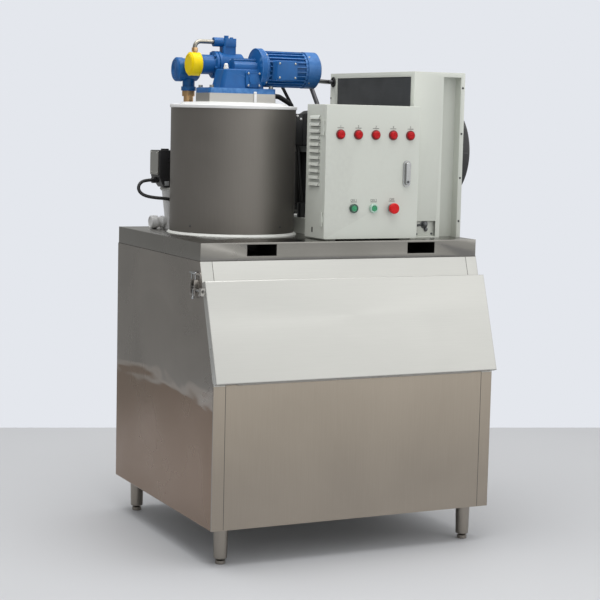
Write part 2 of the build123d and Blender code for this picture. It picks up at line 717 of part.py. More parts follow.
def feed_pump():
    """Feed pump behind the gearbox with its head, yellow end cap, relief valve and pipe."""
    x, y, z, r = feed_x, feed_y, feed_z, feed_radius
    pump = turned_x([(x, 0), (x, r - 7), (x + 54, r - 7), (x + 56, r + 8), (x + 66, r + 8), (x + 68, r + 3),
                     (x + 70, r + 8), (x + 80, r + 8), (x + 82, r + 3), (x + 102, r + 3), (x + 102, r),
                     (x + 172, r), (x + 184, r - 14), (x + 184, 0)], y, z)
    pump += block(x + 92, x + 174, y - 22, y + 22, lid_top, lid_top + 8)
    pump += block(x + 128, x + 140, y - 18, y + 18, lid_top, z - 30)
    pump += rod_y(x + 24, y, feed_head_y - feed_head_radius + 6, z - 6, 15)
    stand = block(x + 91, x + 147, y - 22, y + 22, z + r - 12, feed_pipe_z - 16)
    stand = fillet(stand.edges().filter_by(Axis.Z), 8.0)
    valve = block(x + 95, x + 148, y - 24, y + 24, feed_pipe_z - 17, feed_pipe_z + 15)
    valve = fillet(valve.edges().filter_by(Axis.Z), 10.0)
    valve += rod_z(x + 112, y, feed_pipe_z + 14, feed_pipe_z + 26, 9)
    valve += rod_z(x + 134, y, feed_pipe_z + 14, feed_pipe_z + 20, 7)
    valve += rod_x(x + 57, x + 98, y, feed_pipe_z, 18)
    valve -= rod_x(x + 56, x + 68, y, feed_pipe_z, feed_pipe_radius + 0.2)
    pump += stand + valve
    cap = turned_x([(x - 46, 0), (x - 46, r - 6), (x - 40, r), (x - 4, r), (x, r - 4), (x, 0)], y, z)
    nipple_x = x - 20
    cap -= rod_z(nipple_x, y, z + r - 14, z + r + 10, 7.0)
    hx, hy, hz, hr = feed_head_x, feed_head_y, feed_head_z, feed_head_radius
    left = x - feed_head_reach
    head = turned_x([(left, 0), (left, hr - 5), (left + 5, hr), (left + 26, hr), (left + 28, hr - 3),
                     (hx + 30, hr - 3), (hx + 36, hr - 9), (hx + 36, 0)], hy, hz)
    head += rod_z(hx, hy, hz - 68, hz - 20, 24)
    head += rod_z(hx, hy, hz - 82, hz - 66, 29)
    head -= pump
    head = head.solids().sort_by(SortBy.VOLUME)[-1]
    foot_z = drum_top + lid_band
    hexagon = extrude(Plane.XY.offset(hz - 104) * Pos(hx, hy) * RegularPolygon(27, 6), amount=22)
    fitting = hexagon + rod_z(hx, hy, foot_z + 5, hz - 100, 19)
    fitting += rod_z(hx, hy, foot_z, foot_z + 6, 21)
    nipple = rod_z(nipple_x, y, z + r - 14, z + r + 12, 6.9)
    nut = extrude(Plane.XY.offset(z + r + 2) * Pos(nipple_x, y) * RegularPolygon(13, 6), amount=16)
    path = FilletPolyline((nipple_x, y, z + r + 18), (nipple_x, y, feed_pipe_z), (x + 68, y, feed_pipe_z),
                          radius=24)
    pipe = sweep(Plane(path @ 0, z_dir=path % 0) * Circle(feed_pipe_radius), path=path)
    return {"feed_pump": pump, "feed_pump_cap": cap, "feed_pump_head": head,
            "feed_fitting": group(fitting, nipple + nut), "feed_pipe": pipe}


# Compressor

def compressor_set():
    """Scroll compressor on its tray, with terminal box, receiver and pipes."""
    x, y, r = comp_x, comp_y, comp_radius
    z0 = skid_top + tray_height
    stub = rod_z(x + hot_offset, y + 30, comp_top - 30, comp_top, 12)
    stub += rod_y(x + suction_offset, y, y + suction_reach, suction_z, 14)
    shell = turned([(0, z0 + 12), (r - 14, z0 + 12), (r, z0 + 28), (r, comp_top - 50),
                    (r - 10, comp_top - 26),
                    (r - 38, comp_top - 6), (0, comp_top)], x, y)
    for i in range(4):
        a = radians(45 + 90 * i)
        fx, fy = x + (r + 14) * cos(a), y + (r + 14) * sin(a)
        foot = rod_z(fx, fy, z0, z0 + 16, 12)
        strap = Pos(x, y, 0) * Rot(0, 0, 45 + 90 * i) * block(r - 34, r + 20, -14, 14, z0 + 8, z0 + 15)
        shell += foot + strap
    shell += stub
    box = block(x - 101, x - 12, y - r - 4, y - 20, comp_top - 138, comp_top - 18)
    box = fillet(box.edges().filter_by(Axis.Y), 5.0)
    box -= rod_z(x, y, z0, comp_top + 10, r + 0.2)
    box = box.solids().sort_by(Axis.Y)[0]
    tx0, tx1, ty0, ty1 = tray_left, cond_left - tray_gap, tray_front, tray_back
    tray = block(tx0, tx1, ty0, ty1, skid_top, z0)
    tray = fillet(tray.edges().filter_by(Axis.Z), 4.0)
    tray -= block(tx0 + tray_sheet, tx1 - tray_sheet, ty0 + tray_sheet, ty1 - tray_sheet, skid_top - 1,
                  z0 - tray_sheet)
    rx, ry, rr, rh = receiver_x, y + 60, receiver_radius, receiver_height
    receiver = turned([(0, 0), (rr - 14, 0), (rr, 14), (rr, rh - 14), (rr - 14, rh), (0, rh)])
    receiver = Pos(rx, ry, z0 + 8) * receiver
    for dy in (-20, 20):
        receiver += block(rx - rr, rx + rr, ry + dy - 5, ry + dy + 5, z0, z0 + 20)
    return {"compressor": shell, "compressor_box": box, "compressor_tray": tray, "receiver": receiver}


def tube(points, bend, radius):
    """A round tube swept along straight runs with bends."""
    path = FilletPolyline(*points, radius=bend)
    return sweep(Plane(path @ 0, z_dir=path % 0) * Circle(radius), path=path)


def pipes():
    """Steel lines to the condenser, and the two insulated lines between drum and compressor."""
    hot_x, hot_y = comp_x + hot_offset, comp_y + 30
    hot = tube([(hot_x, hot_y, comp_top), (hot_x, hot_y, comp_top + 18),
                (hot_x - 24, hot_y + 15, comp_top + 90),
                (hot_x - 18, hot_y + 70, hot_pipe_z), (cond_left - 30, hot_pipe_y, hot_pipe_z),
                (cond_left + 30, hot_pipe_y, hot_pipe_z)], 24, hot_pipe_radius)
    line_y = comp_y + 60
    liquid = tube([(receiver_x, line_y, skid_top + tray_height + receiver_height + 8),
                   (receiver_x, line_y, liquid_z - 40), (receiver_x + 50, line_y, liquid_z),
                   (cond_left + 4.9, line_y, liquid_z)], 18, liquid_pipe_radius)
    lift = drum_top + lid_band
    suction_x, suction_y = comp_x + suction_offset, comp_y + 150
    suction = tube([(drum_x + 158, drum_y + 158, lift), (drum_x + 158, drum_y + 158, lift + 52),
                    (suction_x - 55, suction_y + 6, lift + 39), (suction_x, suction_y + 3, lift + 9),
                    (suction_x, suction_y, suction_z), (suction_x, comp_y + suction_reach, suction_z)],
                   24, hose_radius)
    thin_x, thin_y = suction_x + 15, suction_y + 30
    thin = tube([(drum_x + 115, drum_y + 190, lift), (drum_x + 115, drum_y + 190, lift + 89),
                 (thin_x - 55, thin_y + 4, lift + 99), (thin_x, thin_y, lift + 4),
                 (thin_x, thin_y, skid_top + tray_height)], 24, thin_hose_radius)
    return {"refrigerant_pipes": group(hot, liquid), "insulated_hoses": group(suction, thin)}


# Condenser

def condenser():
    """Casing with a coil on its inner side, fan, motor and guard on the outer side."""
    s = cond_sheet
    z0 = skid_top
    plan = [(cond_left, cond_front), (channel_left, cond_front), (channel_left, cond_front + channel_depth),
            (channel_right, cond_front + channel_depth), (channel_right, cond_front),
            (cond_right, cond_front),
            (cond_right, cond_back), (cond_left, cond_back)]
    outline = make_face(Polyline([(x, y, z0) for x, y in plan], close=True))
    casing = extrude(outline, amount=cond_top - z0)
    hollow = extrude(offset(outline, -s, kind=Kind.INTERSECTION), amount=cond_top - s - z0)
    casing -= Pos(0, 0, s) * hollow & block(cond_left, cond_right, cond_front, cond_back, z0 + s,
                                            cond_top - s)
    casing += block(cond_left, cond_right, cond_front, cond_back, cond_top - s, cond_top)
    casing += block(cond_left, cond_right, cond_front, cond_front + s, cond_top - 18, cond_top)
    coil_y0, coil_y1 = cond_front + 28, cond_back - 62
    coil_z0, coil_z1 = z0 + 10, cond_top - 20
    casing -= block(cond_left - 1, cond_left + s + 1, coil_y0, coil_y1, coil_z0, coil_z1)
    casing -= rod_x(cond_right - s - 1, cond_right + 1, fan_y, fan_z, fan_opening_radius)
    casing -= block(cond_left + 25, cond_left + 111, cond_front - 1, cond_front + s + 1, z0 + s, z0 + 64)
    casing -= rod_x(cond_left - 1, cond_left + s + 1, hot_pipe_y, hot_pipe_z, hot_pipe_radius + 3)
    lip = turned_x([(cond_right - 12, fan_opening_radius), (cond_right + 2, fan_opening_radius),
                    (cond_right + 2, fan_opening_radius + 2.5),
                    (cond_right - 12, fan_opening_radius + 2.5)],
                   fan_y, fan_z)
    casing += lip
    coil_x0 = cond_left + 5
    core = block(coil_x0, coil_x0 + coil_thickness, coil_y0 + 12, coil_y1 - 12, coil_z0, coil_z1)
    for i in range(27):
        groove_y = coil_y0 + 12 + (i + 0.5) * (coil_y1 - coil_y0 - 24) / 27
        core -= block(coil_x0 - 1, coil_x0 + 6, groove_y - 6, groove_y + 6, coil_z0 + 4, coil_z1 - 4)
    ends = block(cond_left + s, coil_x0 + coil_thickness + 6, coil_y0 - 2, coil_y0 + 12, coil_z0 - 6,
                 coil_z1 + 6)
    ends += block(cond_left + s, coil_x0 + coil_thickness + 6, coil_y1 - 12, coil_y1 + 2, coil_z0 - 6,
                  coil_z1 + 6)
    coil = core + ends
    return {"condenser_casing": casing, "condenser_coil": coil, **condenser_fan()}


def condenser_fan():
    """Axial fan: guard, motor on its arms, and the swept blades."""
    guard = None
    x0 = cond_right
    reach, shoulder = x0 + guard_shoulder_reach, guard_shoulder
    face = x0 + guard_depth
    rings = [(guard_radius - guard_wire, x0, guard_wire * 2),
             (shoulder - 3, reach - guard_wire, guard_wire),
             (shoulder - 25, face - 12, guard_wire), (110, face - 7, guard_wire),
             (60, face - 6, guard_wire)]
    for radius, x, size in rings:
        ring = turned_x([(x, radius), (x + size, radius), (x + size, radius + size), (x, radius + size)],
                        fan_y, fan_z)
        guard = ring if guard is None else guard + ring
    spoke = prism_y([(x0, guard_radius + 3), (x0, guard_radius - 2), (reach - 4, shoulder - 3),
                     (face - 10, shoulder - 23), (face - 5, 112), (face - 3, 0), (face, 0), (face, 60),
                     (face - 2, 115), (face - 7, shoulder - 20), (reach, shoulder + 2)], -2.5, 2.5)
    for i in range(12):
        guard += Pos(0, fan_y, fan_z) * Rot(30 * i, 0, 0) * spoke
    mx0 = cond_right - fan_motor_inset
    mx1 = mx0 + fan_motor_length
    motor_can = turned_x([(mx0, 0), (mx0, 50), (mx0 + 6, 56), (mx1 - 6, 56), (mx1, 50), (mx1, 0)], fan_y,
                         fan_z)
    motor_can -= rod_x(mx1 - 40, mx1 + 1, fan_y, fan_z, 8 + pin_gap)
    for sign in (-1, 1):
        motor_can += block(mx0 + 10, mx0 + 34, fan_y + sign * 60 - 4, fan_y + sign * 60 + 4,
                           skid_top + cond_sheet, cond_top - cond_sheet)
        motor_can += block(mx0 + 10, mx0 + 34, fan_y + min(0, sign * 60), fan_y + max(0, sign * 60),
                           fan_z - 6, fan_z + 6)
    motor_can -= rod_x(mx1 - 40, mx1 + 1, fan_y, fan_z, 8 + pin_gap)
    hub = turned_x([(mx1 - 38, 0), (mx1 - 38, 8), (mx1 + 4, 8), (mx1 + 4, 58), (mx1 + 34, 58),
                    (mx1 + 40, 50),
                    (mx1 + 40, 0)], fan_y, fan_z)
    blades = hub
    for i in range(fan_blade_count):
        root = Plane(origin=(mx1 + 20, 0, 50), x_dir=(0.52, 0.85, 0), z_dir=(0, 0, 1)) * Rectangle(74, 3)
        tip = Plane(origin=(mx1 + 20, 18, fan_radius), x_dir=(0.30, 0.95, 0),
                    z_dir=(0, 0, 1)) * Rectangle(128, 2.4)
        blade = loft([root, tip])
        blade &= turned_x([(mx1 - 40, 0), (mx1 - 40, fan_radius), (mx1 + 90, fan_radius), (mx1 + 90, 0)], 0,
                          0)
        blades += Pos(0, fan_y, fan_z) * Rot(360 / fan_blade_count * i, 0, 0) * blade
    return {"fan_guard": guard, "fan_motor": motor_can, "fan_blades": blades}


# Control box

def control_box():
    """Steel cabinet with louvres, mounting plate, switchgear and a hinged door."""
    x0, x1 = box_x - box_width / 2, box_x + box_width / 2
    z0 = box_bottom
    z1 = z0 + box_height
    y0, y1 = box_front, box_front + box_depth
    s = box_sheet
    shell = block(x0, x1, y0, y1, z0, z1)
    shell = fillet(shell.edges().filter_by(Axis.Y), 2.0)
    shell -= block(x0 + s, x1 - s, y0 - 1, y1 - s, z0 + s, z1 - s)
    for x in (x0 + s, x1 - s - 12):
        shell += block(x, x + 12, y0, y0 + 1.5, z0 + s, z1 - s)
    for i in range(11):
        z = z0 + 192 + i * 24.5
        shell -= block(x0 - 1, x0 + s + 1, y0 + 30, y0 + 108, z, z + 7)
    for x in (x0 + 20, x1 - 60):
        shell += block(x, x + 40, y0 + 4, y1 - 4, skid_top, z0 + 0.5)
    shell += control_hinge_fixed(x0, z0, z1)
    plate_y = y1 - s - 8
    plate = block(x0 + 22, x1 - 22, plate_y, plate_y + 2, z0 + 24, z1 - 24)
    for px in (x0 + 34, x1 - 34):
        for pz in (z0 + 36, z1 - 36):
            plate += rod_y(px, plate_y, y1 - s, pz, 5)
    gear = plate
    for pz in (z0 + 130, z0 + 300):
        gear += block(x0 + 40, x1 - 40, plate_y - 7, plate_y, pz - 17, pz + 17)
    for i in range(3):
        cx = x0 + 78 + i * 62
        contactor = block(cx, cx + 46, plate_y - 78, plate_y - 7, z0 + 262, z0 + 340)
        contactor += block(cx + 5, cx + 41, plate_y - 92, plate_y - 76, z0 + 280, z0 + 322)
        gear += contactor
    for i in range(12):
        tx = x0 + 74 + i * 12
        gear += block(tx, tx + 10.5, plate_y - 40, plate_y - 7, z0 + 106, z0 + 154)
    gear += block(x0 + 250, x0 + 322, plate_y - 72, plate_y - 7, z0 + 92, z0 + 168)
    return {"control_box": shell, "control_gear": gear, **control_door(x0, x1, z0, z1)}


def control_hinge_axis():
    """Pin centre of the control door's hinges."""
    return box_x - box_width / 2 - 3.5, box_front - panel_gap - 3.0


def control_hinge_places(z0, z1):
    """Bottom of the door's knuckle on each hinge."""
    return z0 + 60, z1 - 100


def control_hinge_fixed(x0, z0, z1):
    """The box's half of the hinges: two knuckles with the pin between them, on a leaf."""
    x, y = control_hinge_axis()
    leaves = []
    for z in control_hinge_places(z0, z1):
        low, high = z - 14, z + control_knuckle + 14
        leaf = block(x0 - 2, x0, box_front + 0.5, box_front + 22, low, high)
        for a, b in ((low, z - 0.4), (z + control_knuckle + 0.4, high)):
            leaf += block(x0 - 2, x0 - 0.5, y, box_front + 1, a, b)
            leaf += rod_z(x, y, a, b, control_hinge_radius)
        leaves.append(leaf + rod_z(x, y, low, high, control_pin_radius))
    return leaves


def control_door(x0, x1, z0, z1):
    """Folded door with five lamps, two push buttons, a stop button and a lock."""
    y1 = box_front - panel_gap
    y0 = y1 - door_tray
    s = box_sheet
    pan = block(x0, x1, y0, y1, z0, z1)
    pan = fillet(pan.edges().filter_by(Axis.Y), 3.0)
    pan = fillet(pan.faces().sort_by(Axis.Y)[0].edges(), 1.5)
    pan -= block(x0 + s, x1 - s, y0 + s, y1 + 1, z0 + s, z1 - s)
    hinge_x, hinge_y = control_hinge_axis()
    lamps_group, bezels = [], []
    for i in range(5):
        x = lamp_x(i)
        pan -= rod_y(x, y0 - 1, y0 + s + 1, lamp_z, 11.2)
        bezels.append(_ring_y(x, y0 - 4, y0, lamp_z, lamp_radius + 3, lamp_radius))
        lens = rod_y(x, y0 - 11, y0, lamp_z, lamp_radius - 0.1)
        lens = fillet(lens.edges().filter_by(GeomType.CIRCLE).sort_by(Axis.Y)[0], 4.0)
        lens += rod_y(x, y0, y0 + 30, lamp_z, 11.0)
        lamps_group.append(lens)
    buttons = {}
    for name, dx in zip(("start_button", "run_button"), button_offsets):
        x = box_x + dx
        pan -= rod_y(x, y0 - 1, y0 + s + 1, button_z, 11.2)
        ring = _ring_y(x, y0 - 9, y0, button_z, button_radius + 4, button_radius + slide_gap)
        ring += _ring_y(x, y0, y0 + 34, button_z, 11.0, 5.0 + slide_gap)
        bezels.append(ring)
        stem = rod_y(x, y0 + 1, y0 + 28, button_z, 5.0)
        cap = rod_y(x, y0 - 9, y0 - button_travel - 0.5, button_z, button_radius)
        cap = fillet(cap.edges().filter_by(GeomType.CIRCLE).sort_by(Axis.Y)[0], 1.0)
        buttons[name] = cap + stem + rod_y(x, y0 - 5, y0 + 2, button_z, 5.0)
    pan -= rod_y(estop_x, y0 - 1, y0 + s + 1, button_z, 11.2)
    collar = _ring_y(estop_x, y0 - 8, y0, button_z, 17.0, 8.0 + slide_gap)
    collar += _ring_y(estop_x, y0, y0 + 34, button_z, 11.0, 8.0 + slide_gap)
    bezels.append(collar)
    head = rod_y(estop_x, y0 - 28, y0 - 16, button_z, estop_radius)
    head = fillet(head.edges().filter_by(GeomType.CIRCLE).sort_by(Axis.Y)[0], 5.0)
    head += rod_y(estop_x, y0 - 17, y0 + 28, button_z, 8.0)
    bezels.append(_lock_base(y0))
    pan -= rod_y(lock_x, y0 - 1, y0 + s + 1, lock_z + lock_lift, 9.4)
    for z in control_hinge_places(z0, z1):
        pan += block(hinge_x, x0 + 1, hinge_y - 3, hinge_y - 1, z, z + control_knuckle)
        pan += rod_z(hinge_x, hinge_y, z, z + control_knuckle, control_hinge_radius)
        pan -= rod_z(hinge_x, hinge_y, z - 1, z + control_knuckle + 1, control_pin_radius + pin_gap)
    return {"control_door": pan, "lamps": group(*lamps_group), "panel_bezels": group(*bezels), **buttons,
            "estop_head": head, "lock_handle": _lock_handle(y0)}


def lamp_x(i):
    """The i-th lamp's place across the door."""
    return box_x + (i - 2) * lamp_pitch + lamp_shift


def _ring_y(x, y0, y1, z, outer, inner):
    return rod_y(x, y0, y1, z, outer) - rod_y(x, y0 - 1, y1 + 1, z, inner)


def _lock_base(y0):
    """Oblong chrome base of the door lock, with its barrel through the door."""
    base = Pos(lock_x, y0, lock_z) * Rot(90, 0, 0) * extrude(SlotOverall(lock_length, lock_width,
                                                                         rotation=90), amount=5)
    base += rod_y(lock_x, y0, y0 + 22, lock_z + lock_lift, 9.2)
    base -= rod_y(lock_x, y0 - 10, y0 + 30, lock_z + lock_lift, 6.0 + pin_gap)
    return base


def _lock_handle(y0):
    """Quarter-turn handle with its spindle and the cam behind the door."""
    face = y0 - 5 - slide_gap
    grip = Pos(lock_x, face, lock_z) * Rot(90, 0, 0) * extrude(SlotOverall(handle_length, handle_width,
                                                                           rotation=90), amount=9)
    grip = fillet(grip.faces().sort_by(Axis.Y)[0].edges(), 3.0)
    pivot_z = lock_z + lock_lift
    grip += rod_y(lock_x, face - 1, y0 + 27, pivot_z, 6.0)
    grip += block(lock_x - 8, lock_x + 8, y0 + 22.5, y0 + 25.5, pivot_z - 8, pivot_z + cam_reach)
    return grip


# Circulation pump and its pipes

def circulation_pump():
    """Small pump behind the drum: motor block, side cover, casing with its leg, white pipes and cable."""
    x0, x1 = pump_x - pump_width / 2, pump_x + pump_width / 2
    y0, y1 = pump_y - pump_depth / 2, pump_y + pump_depth / 2
    motor_block = block(x0, x1, y0, y1, pump_bottom + 40, pump_top)
    motor_block = fillet(motor_block.edges().filter_by(Axis.Z), 5.0)
    low = RectangleRounded(pump_width - 30, pump_depth - 20, 8)
    high = RectangleRounded(pump_width, pump_depth, 5)
    motor_block += loft([Plane.XY.offset(pump_bottom) * Pos(pump_x + 10, pump_y) * low,
                         Plane.XY.offset(pump_bottom + 40) * Pos(pump_x, pump_y) * high])
    motor_block += rod_z(pump_x - 4, pump_y, pump_top, pump_top + 6, 16)
    gland_z, gland_y = pump_bottom + 27, pump_y - 5
    motor_block += rod_x(x0 - 14, pump_x, gland_y, gland_z, 12)
    motor_block -= rod_x(x0 - 15, x0 - 2, gland_y, gland_z, cable_radius + 0.1)
    cover = block(x0 - 4, x0, y0 + 3, y1 - 3, pump_top - 96, pump_top - 2)
    cover = fillet(cover.edges().filter_by(Axis.X), 4.0)
    leg_x = pump_x + 22
    casing = turned([(0, pump_bottom - 18), (30, pump_bottom - 18), (38, pump_bottom - 14),
                     (38, pump_bottom - 4),
                     (34, pump_bottom), (0, pump_bottom)], leg_x, pump_y)
    casing += turned([(0, skid_top + 46), (22, skid_top + 46), (34, pump_bottom - 16),
                      (0, pump_bottom - 16)],
                     leg_x, pump_y)
    pipe_z = skid_top + 26
    socket = rod_z(leg_x, pump_y, skid_top, skid_top + 46, 27)
    socket += rod_x(pump_x - 44, leg_x, pump_y, pipe_z, 20)
    socket += rod_x(pump_x - 60, pump_x - 36, pump_y, pipe_z, 25)
    exit_gland = rod_z(*cable_end, skid_top, skid_top + 18, 12)
    exit_gland -= rod_z(*cable_end, skid_top + 6, skid_top + 20, cable_radius + 0.1)
    return {"pump_motor": motor_block, "pump_cover": cover, "pump_casing": casing,
            "water_pipes": group(socket, exit_gland, drain_pipe()),
            "pump_cable": cable((x0 - 12, gland_y, gland_z))}


def cable(start):
    """The pump's cable: a loop out to the left, then round behind the drum to its gland."""
    points = [start, (-512, 375, 1340), (-535, 370, 1327), (-543, 363, 1306), (-532, 355, 1287),
              (-508, 347, 1277),
              (-472, 338, 1272), (-434, 331, 1270), (-398, 333, 1260), (-366, 346, 1240), (-344, 372, 1214),
              (cable_end[0], cable_end[1], 1186), (cable_end[0], cable_end[1], skid_top + 8)]
    vectors = [Vector(*p) for p in points]
    radii = []
    for a, b, c in zip(vectors, vectors[1:], vectors[2:]):
        run = min((b - a).length, (c - b).length)
        turn = (b - a).get_angle(c - b)
        radii.append(0.45 * run / tan(radians(turn) / 2))
    return tube(vectors, radii, cable_radius)


def footprint_centre(nodes):
    """The middle of the machine's footprint, without the free cable."""
    boxes = [node.bounding_box() for name, node in nodes.items() if name != "pump_cable"]
    left, right = min(b.min.X for b in boxes), max(b.max.X for b in boxes)
    front, back = min(b.min.Y for b in boxes), max(b.max.Y for b in boxes)
    return (left + right) / 2, (front + back) / 2


def export():
    """Builds every piece and writes one file per node."""
    nodes = {**bin_panels(), "door_gasket": door_gasket(), **legs(), "bin_door": bin_door(), **door_hinge(),
             "skid_frame": skid_frame(), "ice_chute": ice_chute(), **drum(),
             **spindle_and_scraper(), **gear_drive(), **feed_pump(), **compressor_set(), **pipes(),
             **condenser(),
             **control_box(), **circulation_pump()}
    cx, cy = footprint_centre(nodes)
    os.makedirs("parts", exist_ok=True)
    for name, solid in nodes.items():
        export_step(Pos(-cx, -cy, 0) * solid, f"parts/{name}.step")


export()
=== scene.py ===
"""Looks of a flake ice machine: a drum, its drive, condenser and control box over an ice bin.

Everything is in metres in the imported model's frame. Sizes that come from the drawing are written
in millimetres about the middle of the bin's footprint, as in the drawing, and Site.at() places them.
"""

import logging
import math
from dataclasses import dataclass, replace
from enum import Enum
from typing import Iterable, Optional, Sequence, Union

import bpy
from mathutils import Matrix, Vector

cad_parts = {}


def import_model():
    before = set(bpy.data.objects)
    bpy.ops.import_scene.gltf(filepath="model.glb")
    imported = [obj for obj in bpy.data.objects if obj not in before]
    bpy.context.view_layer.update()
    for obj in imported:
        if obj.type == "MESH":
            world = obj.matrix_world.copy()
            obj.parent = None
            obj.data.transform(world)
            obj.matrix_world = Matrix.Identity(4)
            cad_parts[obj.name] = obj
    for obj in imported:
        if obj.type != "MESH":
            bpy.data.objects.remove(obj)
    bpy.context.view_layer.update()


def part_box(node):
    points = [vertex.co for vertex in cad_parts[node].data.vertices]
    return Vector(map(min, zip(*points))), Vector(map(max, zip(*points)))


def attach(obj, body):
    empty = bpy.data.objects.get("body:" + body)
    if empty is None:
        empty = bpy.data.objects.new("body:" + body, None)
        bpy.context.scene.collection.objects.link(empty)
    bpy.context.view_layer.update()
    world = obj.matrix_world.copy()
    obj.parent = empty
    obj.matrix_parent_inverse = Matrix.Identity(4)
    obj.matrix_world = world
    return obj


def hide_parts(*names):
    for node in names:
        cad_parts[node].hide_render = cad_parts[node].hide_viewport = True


logging.basicConfig(level=logging.INFO, format="%(message)s")
log = logging.getLogger("ice_machine")

Point = tuple[float, float, float]
Colour = tuple[int, int, int]
Outline = tuple[tuple[float, float], ...]
Piece = bpy.types.Object
Socket = bpy.types.NodeSocket
Tree = bpy.types.NodeTree
MM = 0.001
LEFT, RIGHT = Vector((-1.0, 0.0, 0.0)), Vector((1.0, 0.0, 0.0))
FRONT, BACK = Vector((0.0, -1.0, 0.0)), Vector((0.0, 1.0, 0.0))
DOWN, UP = Vector((0.0, 0.0, -1.0)), Vector((0.0, 0.0, 1.0))


class Site:
    """Places drawing points, in millimetres about the bin's middle, in the frame."""

    middle = Vector((0.0, 0.0, 0.0))

    @classmethod
    def settle(cls) -> None:
        """Finds the bin's middle from its back panel, which is half the bin's depth behind it."""
        low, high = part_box("bin_back")
        cls.middle = Vector(((low.x + high.x) / 2, high.y - 500.0 * MM, 0.0))

    @classmethod
    def at(cls, x: float, y: float, z: float) -> Vector:
        """Returns the frame point of a drawing point."""
        return cls.middle + Vector((x, y, z)) * MM


# Finishes


class Grain(Enum):
    """Direction in which a sheet was brushed, as noise cells per metre along X, Y and Z."""

    NONE = (1.0, 1.0, 1.0)
    ALONG_X = (7.0, 900.0, 900.0)
    ALONG_Y = (900.0, 7.0, 900.0)
    ALONG_Z = (900.0, 900.0, 7.0)
    CAST = (420.0, 420.0, 420.0)


@dataclass(frozen=True)
class Finish:
    """A surface finish. Colours are 8-bit display values and lengths are metres."""

    name: str
    colour: Colour
    roughness: float
    metallic: float = 0.0
    grain: Grain = Grain.NONE
    grain_tone: float = 0.0
    grain_depth: float = 0.0
    cloud_size: float = 0.25
    cloud_tone: float = 0.03
    cloud_rough: float = 0.05
    # Edge colour: wear on the grey paint, a painted highlight where it is lighter than the paint, as on the
    # blue, yellow and black paints.
    wear_and_highlight: float = 0.0
    wear_and_highlight_colour: Colour = (170, 168, 162)
    coat: float = 0.0
    specular: float = 0.5
    anisotropic: float = 0.0
    wave_size: float = 0.0
    wave_depth: float = 0.0
    # These four fields paint a reflection of the floor low on an upright sheet, with a lighter painted
    # reflection band along its wavy border.
    floor_reflection_colour: Optional[Colour] = None
    floor_reflection_height: float = 0.6
    floor_reflection_depth: float = 0.12
    reflection_band: float = 0.0


STAINLESS_SHEET = Finish("stainless_sheet", (160, 155, 150), 0.3, 1.0, Grain.ALONG_Z, 0.10, 0.00004,
                         0.45, 0.16, 0.08, anisotropic=0.4, wave_size=0.35, wave_depth=0.0002)
# Painted reflection: the left side's steel, with the floor's reflection painted low on it and a lighter
# reflection band at its border.
STAINLESS_SIDE_PAINTED_REFLECTION = replace(STAINLESS_SHEET, name="stainless_side_painted_reflection", floor_reflection_colour=(146, 126, 110),
                         floor_reflection_height=0.60, floor_reflection_depth=0.07, reflection_band=0.55)
# Painted light: lighter and darker copies of one stainless steel, given by the way a face looks; the
# brightest is for slanted faces that look up to the light.
STAINLESS_FRONT_PAINTED_LIGHT = Finish("stainless_front_painted_light", (158, 149, 138), 0.36, 1.0, Grain.ALONG_Z, 0.09, 0.00004,
                         0.60, 0.07, 0.06, anisotropic=0.4, wave_size=0.45, wave_depth=0.0001)
STAINLESS_SLANT_PAINTED_LIGHT = Finish("stainless_slant_painted_light", (194, 194, 190), 0.46, 0.75, Grain.ALONG_X, 0.06, 0.00004,
                        0.50, 0.04, 0.06, anisotropic=0.4)
STAINLESS_SKID = Finish("stainless_skid", (139, 137, 133), 0.24, 1.0, Grain.ALONG_X, 0.08, 0.00004,
                        0.40, 0.08, 0.06, anisotropic=0.4, wave_size=0.16, wave_depth=0.0006)
STAINLESS_DRUM = Finish("stainless_drum", (128, 124, 119), 0.42, 0.8, Grain.ALONG_Z, 0.08, 0.00003,
                        0.30, 0.06, 0.06, anisotropic=0.5, wave_size=0.2, wave_depth=0.0002)
STAINLESS_PLAIN = Finish("stainless_plain", (176, 174, 170), 0.30, 1.0, Grain.ALONG_X, 0.06, 0.00004)
LEG_STEEL = Finish("leg_steel", (150, 144, 136), 0.32, 1.0, Grain.ALONG_Z, 0.06, 0.00003)
CHROME = Finish("chrome", (178, 180, 182), 0.2, 1.0, cloud_size=0.02, cloud_tone=0.02)
ZINC = Finish("zinc_plate", (176, 176, 172), 0.34, 1.0, Grain.CAST, 0.04, 0.00002, 0.02)
BRASS = Finish("turned_brass", (205, 168, 124), 0.4, 1.0, Grain.CAST, 0.10, 0.00004, 0.03, 0.12)
TUBE_STEEL = Finish("drawn_steel_tube", (112, 112, 116), 0.36, 1.0, Grain.CAST, 0.05, 0.00002, 0.05, 0.12)
PIPE_DULL = Finish("dull_steel_pipe", (150, 146, 136), 0.34, 1.0, Grain.CAST, 0.05, 0.00002, 0.05, 0.10)
FOAM_SLEEVE = Finish("foam_sleeve", (24, 24, 26), 0.80, 0.0, Grain.CAST, 0.10, 0.00015, 0.03, 0.10)
PAINT_GREY = Finish("paint_light_grey", (203, 206, 197), 0.42, 0.0, Grain.CAST, 0.012, 0.00005,
                    0.30, 0.015, 0.05, wear_and_highlight=0.15, coat=0.1)
